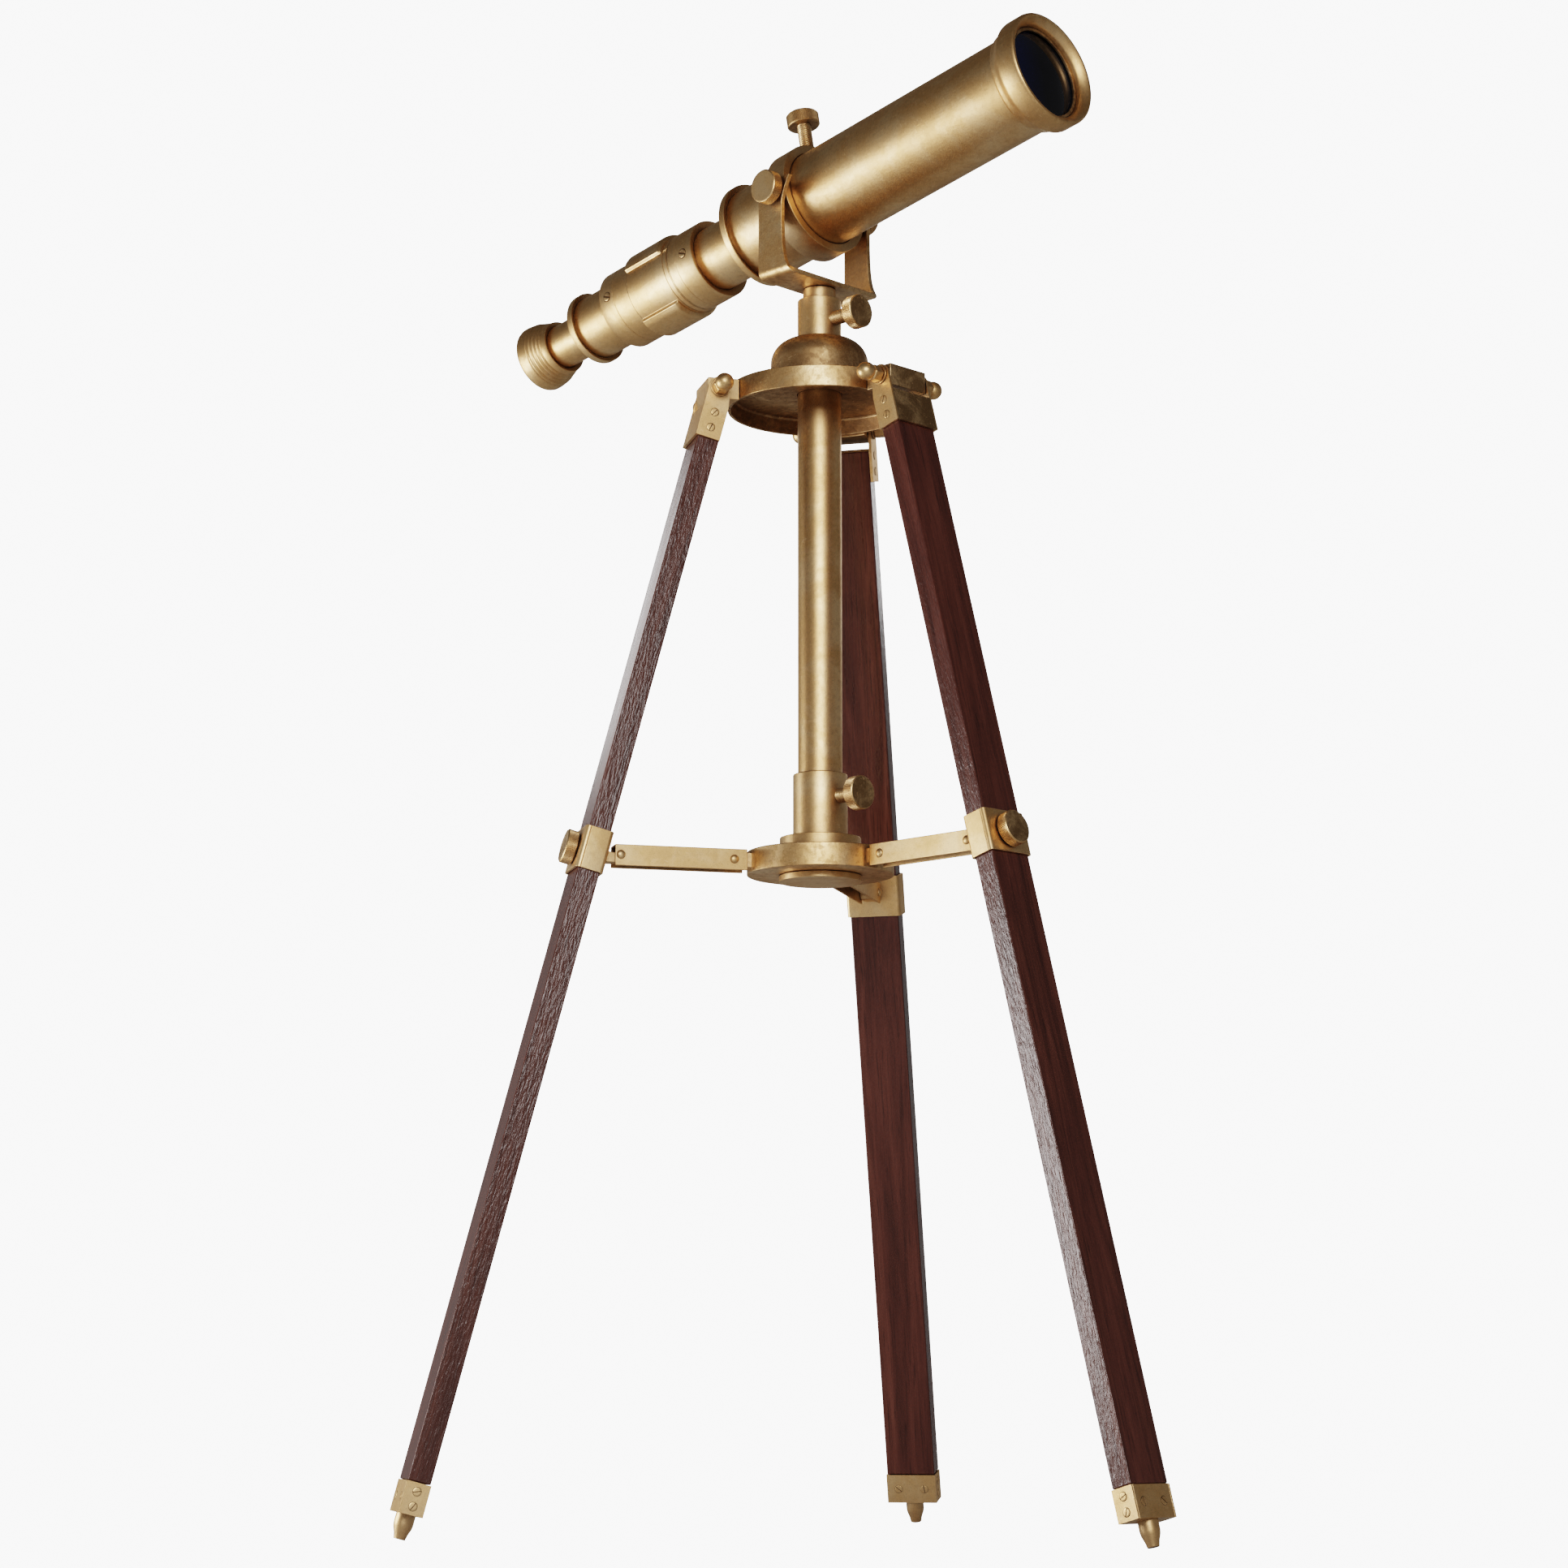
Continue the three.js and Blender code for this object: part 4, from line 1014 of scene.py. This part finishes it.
def build_objective():
    cell = [
        (32.1, 181.5),
        (32.8, 181.6),
        (33.6, 182.2),
        (34.1, 183.6),
        (34.5, 185.4),
        (35.4, 187.4),
        (36.6, 189.1),
        (37.4, 190.4),
        (37.8, 192),
        (37.8, 202.2),
        (37.5, 203.6),
        (36.8, 204.4),
        (35.8, 204.6),
        (34.9, 204.2),
        (31.7, 200.4),
        (31.2, 199),
        (31.2, 192),
        (28.6, 192),
        (28.6, 187.5),
        (32.1, 187.5),
    ]
    add_turned("objective_cell", cell, TUBE_FRAME, POLISHED, 0.25, 160)
    steps = 16
    rear = 192.3
    lens = [(0, rear), (30, rear)]
    for i in range(steps):
        share = 1 - i / steps
        lens.append((30 * share, rear + 2.4 + 2 * (1 - share**2)))
    lens.append((0, rear + 4.4))
    mesh = lathe(bmesh.new(), lens, 128)
    add_piece("objective_lens", mesh, TUBE_FRAME, GLASS, 0)
    # The retaining ring sits in the cove between cell and lens; its dark brass paints the shade in the cove.
    ring = [(28.8, 195.6), (30.9, 195.6), (30.9, 197.2), (28.8, 197.2)]
    add_turned("lens_retaining_ring", ring, TUBE_FRAME, DARK_FACED, 0.3, 128)


def sleeve_screw(end, height):
    """The head stands proud of the collar on its camera side, which is -Y here."""
    mesh = bmesh.new()
    place = Matrix.Translation((0, -COLLAR_RADIUS, height)) @ turned_about("X", 90)
    slotted_screw(mesh, place @ turned_about("Z", 62), **SLEEVE_SCREW)
    # The head is browned brass; its recess disc takes the painted shade material.
    add_piece(f"sleeve_screw_{end}", mesh, TUBE_FRAME, BROWNED_AND_SHADED, 0.1, extra=(RECESS_PAINTED_SHADE,))


def sleeve_collars():
    bore = DRAW_RADIUS + 0.3
    front = [
        (bore, -117),
        (COLLAR_RADIUS, -117),
        (COLLAR_RADIUS, -110.3),
        (COLLAR_RADIUS - 0.25, -110.1),
        (COLLAR_RADIUS, -109.9),
        (COLLAR_RADIUS, -95.4),
        (COLLAR_RADIUS - 0.3, -94.5),
        (COLLAR_RADIUS - 0.9, -94.6),
        (23.0, -96.3),
        (bore, -96.5),
    ]
    add_dished("sleeve_collar_front", front)
    rear = [
        (bore, -186.3),
        (bore + 2.5, -186.3),
        (COLLAR_RADIUS - 0.6, -185.8),
        (COLLAR_RADIUS, -184.8),
        (COLLAR_RADIUS, -172.3),
        (COLLAR_RADIUS - 0.25, -172.1),
        (COLLAR_RADIUS, -171.9),
        (COLLAR_RADIUS, -158),
        (bore, -158),
    ]
    add_turned("sleeve_collar_rear", rear, TUBE_FRAME, POLISHED, 0.12, 128)
    sleeve_screw("front", -102.5)
    sleeve_screw("rear", -177.7)


LAND_CENTRES = (107, 287)
LAND_HALF_ANGLE = 52.5
LAND_RISE = 3.0
LAND_FRONT = -123.5
LAND_CORNER = 2.8
LAND_STEP_ANGLE = 3.2
KNURL_BAND = (-121.5, -118.2)
GROOVE_WIDTH = 0.45
GROOVE_DEPTH = 0.35


def eased(share):
    """0 below 0, 1 above 1 and a smooth step between."""
    share = min(1.0, max(0.0, share))
    return share * share * (3 - 2 * share)


def land_share(degrees):
    """1 on a land, 0 between lands, with a step and a wide round-over at each side."""
    share = 0.0
    for centre in LAND_CENTRES:
        off = abs((degrees - centre + 180) % 360 - 180)
        steps_in = (LAND_HALF_ANGLE - off) / LAND_STEP_ANGLE
        share = max(share, 0.65 * eased(steps_in) + 0.35 * eased(steps_in / 4))
    return share


def land_front_share(height):
    """The share of the full rise at that height near a land's rounded front end."""
    into = (height - LAND_FRONT + LAND_CORNER) / LAND_CORNER
    into = min(1.0, max(0.0, into))
    return math.sqrt(1 - into * into)


def band_rise(degrees, height):
    """Straight knurling in the band and a groove on each side of it."""
    low, high = KNURL_BAND
    if low < height < high:
        return 0.05 if int(degrees) % 2 else -0.05
    if low - GROOVE_WIDTH < height < high + GROOVE_WIDTH:
        return -GROOVE_DEPTH
    return 0.0


def focus_grip():
    """A barrel with a knurled front band and two raised lands with rounded front ends."""
    rear, front = -157.7, -117.3
    low, high = KNURL_BAND
    heights = [rear, rear + 0.3, -150, -140, -130]
    heights += [LAND_FRONT - LAND_CORNER * (1 - math.sin(math.pi / 2 * i / 10)) for i in range(11)]
    for edge, side in ((low, -1), (high, 1)):
        heights += [edge + side * (GROOVE_WIDTH + 0.05), edge + side * (GROOVE_WIDTH - 0.05)]
        heights += [edge + side * 0.05, edge - side * 0.05]
    heights = sorted(heights + [front])
    angles = [step * 1.0 for step in range(360)]
    for centre in LAND_CENTRES:
        for edge in (centre - LAND_HALF_ANGLE, centre + LAND_HALF_ANGLE - LAND_STEP_ANGLE):
            angles += [edge + LAND_STEP_ANGLE * step / 8 for step in range(-1, 10)]
    angles = sorted({round(angle % 360, 3) for angle in angles})
    loops = []
    for height in heights:
        loop = []
        for degrees in angles:
            rise = LAND_RISE * land_share(degrees) * land_front_share(height)
            rise += band_rise(degrees, height)
            # Degrees count from +Y towards the upper side, which is -X.
            loop.append(on_circle(COLLAR_RADIUS + rise, math.radians(degrees + 90), height))
        loops.append(loop)
    bore = DRAW_RADIUS + 0.3
    for height in (front, rear):
        loops.append([on_circle(bore, math.radians(degrees + 90), height) for degrees in angles])
    mesh = skin(bmesh.new(), loops, closed=True)
    add_piece("focus_grip", mesh, TUBE_FRAME, POLISHED, 0, sharp=28)


def eyepiece():
    """A flared cup with four rounded ridges behind its front band."""
    bore = SLIM_RADIUS + 0.3
    cup = [
        (6, -274),
        (12, -275.4),
        (20.8, -276.9),
        (22.4, -277),
        (23.3, -276.5),
        (23.7, -275.2),
        (23.7, -273.4),
        (23.5, -271),
        (23.2, -268.4),
        (22.7, -267.9),
    ]
    ridge_rear, ridge_pitch = -267.9, 2.8
    for index in range(4):
        rear = ridge_rear + index * ridge_pitch
        radius = 22.9 - index * 0.95
        cup += [
            (radius - 0.35, rear + 0.3),
            (radius, rear + 0.9),
            (radius, rear + 1.6),
            (radius - 0.5, rear + 2.4),
            (radius - 0.95, rear + 2.7),
        ]
    cup += [(19.4, -256.4), (19.4, -255.9), (18.8, -252.4), (18.5, -251.8), (18.1, -251.9)]
    cup += [(bore + 0.3, -253.3), (bore, -253.4), (bore, -258.3), (6, -258.3)]
    add_dished("eyepiece", cup)


def build_draws():
    draw = pipe(DRAW_RADIUS, 1.6, -219.8, -26)
    add_turned("draw_tube_1", draw, TUBE_FRAME, POLISHED, 0.3, 128)
    ring = end_ring(DRAW_RADIUS, 1.6, 25.5, -221.3, SLIM_RADIUS + 0.3, -201)
    add_dished("draw_flange_ring", ring)
    sleeve_collars()
    focus_grip()
    add_turned("draw_tube_2", pipe(SLIM_RADIUS, 1.6, -258, -199), TUBE_FRAME, POLISHED, 0.3)
    eyepiece()
    for node in ("eye_lens", "field_lens"):
        frame["nodes"][node].data.materials.clear()
        frame["nodes"][node].data.materials.append(GLASS)


# ---- Camera, floor and light ----

CAMERA_PLACE = Vector((1.5423, -1.5767, 0.0821))
CAMERA_DIRECTION = Vector((-0.6960, 0.6967, 0.1739))
CAMERA_LENS = 80.29
LIT_POINT = Vector((0, 0, 0.7))


def build_camera():
    data = bpy.data.cameras.new("camera")
    data.lens = CAMERA_LENS
    data.sensor_width = 36
    data.clip_end = 200
    camera = bpy.data.objects.new("camera", data)
    camera.location = CAMERA_PLACE
    camera.rotation_mode = "QUATERNION"
    camera.rotation_quaternion = CAMERA_DIRECTION.to_track_quat("-Z", "Y")
    bpy.context.scene.collection.objects.link(camera)
    bpy.context.scene.camera = camera


def build_floor():
    data = bpy.data.meshes.new("floor")
    mesh = lathe(bmesh.new(), [(0, -5), (60000, -5), (60000, 0), (0, 0)], 64)
    mesh.transform(Matrix.Scale(MM, 4))
    mesh.to_mesh(data)
    mesh.free()
    data.materials.append(pale_floor("pale_floor"))
    floor = bpy.data.objects.new("floor", data)
    floor.location.z = -0.0002
    bpy.context.scene.collection.objects.link(floor)


def softbox(name, azimuth, distance, height, width, depth, radiance):
    """A one-sided rectangular light that faces the upper part of the stand."""
    data = bpy.data.lights.new(name, "AREA")
    data.shape = "RECTANGLE"
    data.size = width
    data.size_y = depth
    data.energy = radiance * math.pi * width * depth
    light = bpy.data.objects.new(name, data)
    angle = math.radians(azimuth)
    light.location = (distance * math.cos(angle), distance * math.sin(angle), height)
    light.rotation_mode = "QUATERNION"
    light.rotation_quaternion = (LIT_POINT - light.location).to_track_quat("-Z", "Y")
    light.visible_camera = False
    bpy.context.scene.collection.objects.link(light)


def build_lights():
    softbox(
        "front_softbox", azimuth=-44, distance=3.0, height=1.16, width=1.7, depth=0.85, radiance=7.0
    )
    softbox(
        "low_left_softbox", azimuth=-134, distance=1.4, height=0.30, width=0.8, depth=0.55, radiance=7.0
    )
    softbox(
        "back_panel", azimuth=130, distance=3.5, height=1.72, width=4.0, depth=0.55, radiance=1.8
    )


def facing(tree, direction, low, high):
    """How far a world direction leans towards another one, from 0 at low to 1 at high."""
    coordinates = add_node(tree, "ShaderNodeTexCoord")
    dot = add_node(tree, "ShaderNodeVectorMath", operation="DOT_PRODUCT")
    dot.inputs[1].default_value = Vector(direction).normalized()
    link(tree, coordinates.outputs["Generated"], dot.inputs[0])
    share = add_node(tree, "ShaderNodeMapRange", interpolation_type="SMOOTHSTEP")
    share.inputs["From Min"].default_value = low
    share.inputs["From Max"].default_value = high
    link(tree, dot.outputs["Value"], share.inputs["Value"])
    return share.outputs["Result"]


def build_world():
    """A dim studio with a dark ceiling."""
    world = bpy.data.worlds.new("studio")
    bpy.context.scene.world = world
    world.use_nodes = True
    tree = world.node_tree
    height = facing(tree, (0, 0, 1), 0, 1)
    wall = ramp(tree, height, [(0.0, 0.20), (0.25, 0.13), (0.6, 0.08), (1.0, 0.08)])
    lit = tree.nodes["Background"]
    link(tree, wall, lit.inputs["Color"])
    seen = add_node(tree, "ShaderNodeBackground")
    seen.inputs["Color"].default_value = (BACKDROP_LEVEL,) * 3 + (1,)
    choice = camera_rays_see(tree, lit.outputs["Background"], seen.outputs["Background"])
    link(tree, choice, tree.nodes["World Output"].inputs["Surface"])


# ---- The whole scene ----

build_head()
build_post()
build_hub()
for leg in LEGS:
    build_leg(leg)
build_yoke()
build_main_tube()
build_objective()
build_draws()
build_floor()
build_lights()
build_world()
build_camera()
bpy.context.scene.view_settings.view_transform = "Filmic"
bpy.context.scene.view_settings.look = "High Contrast"
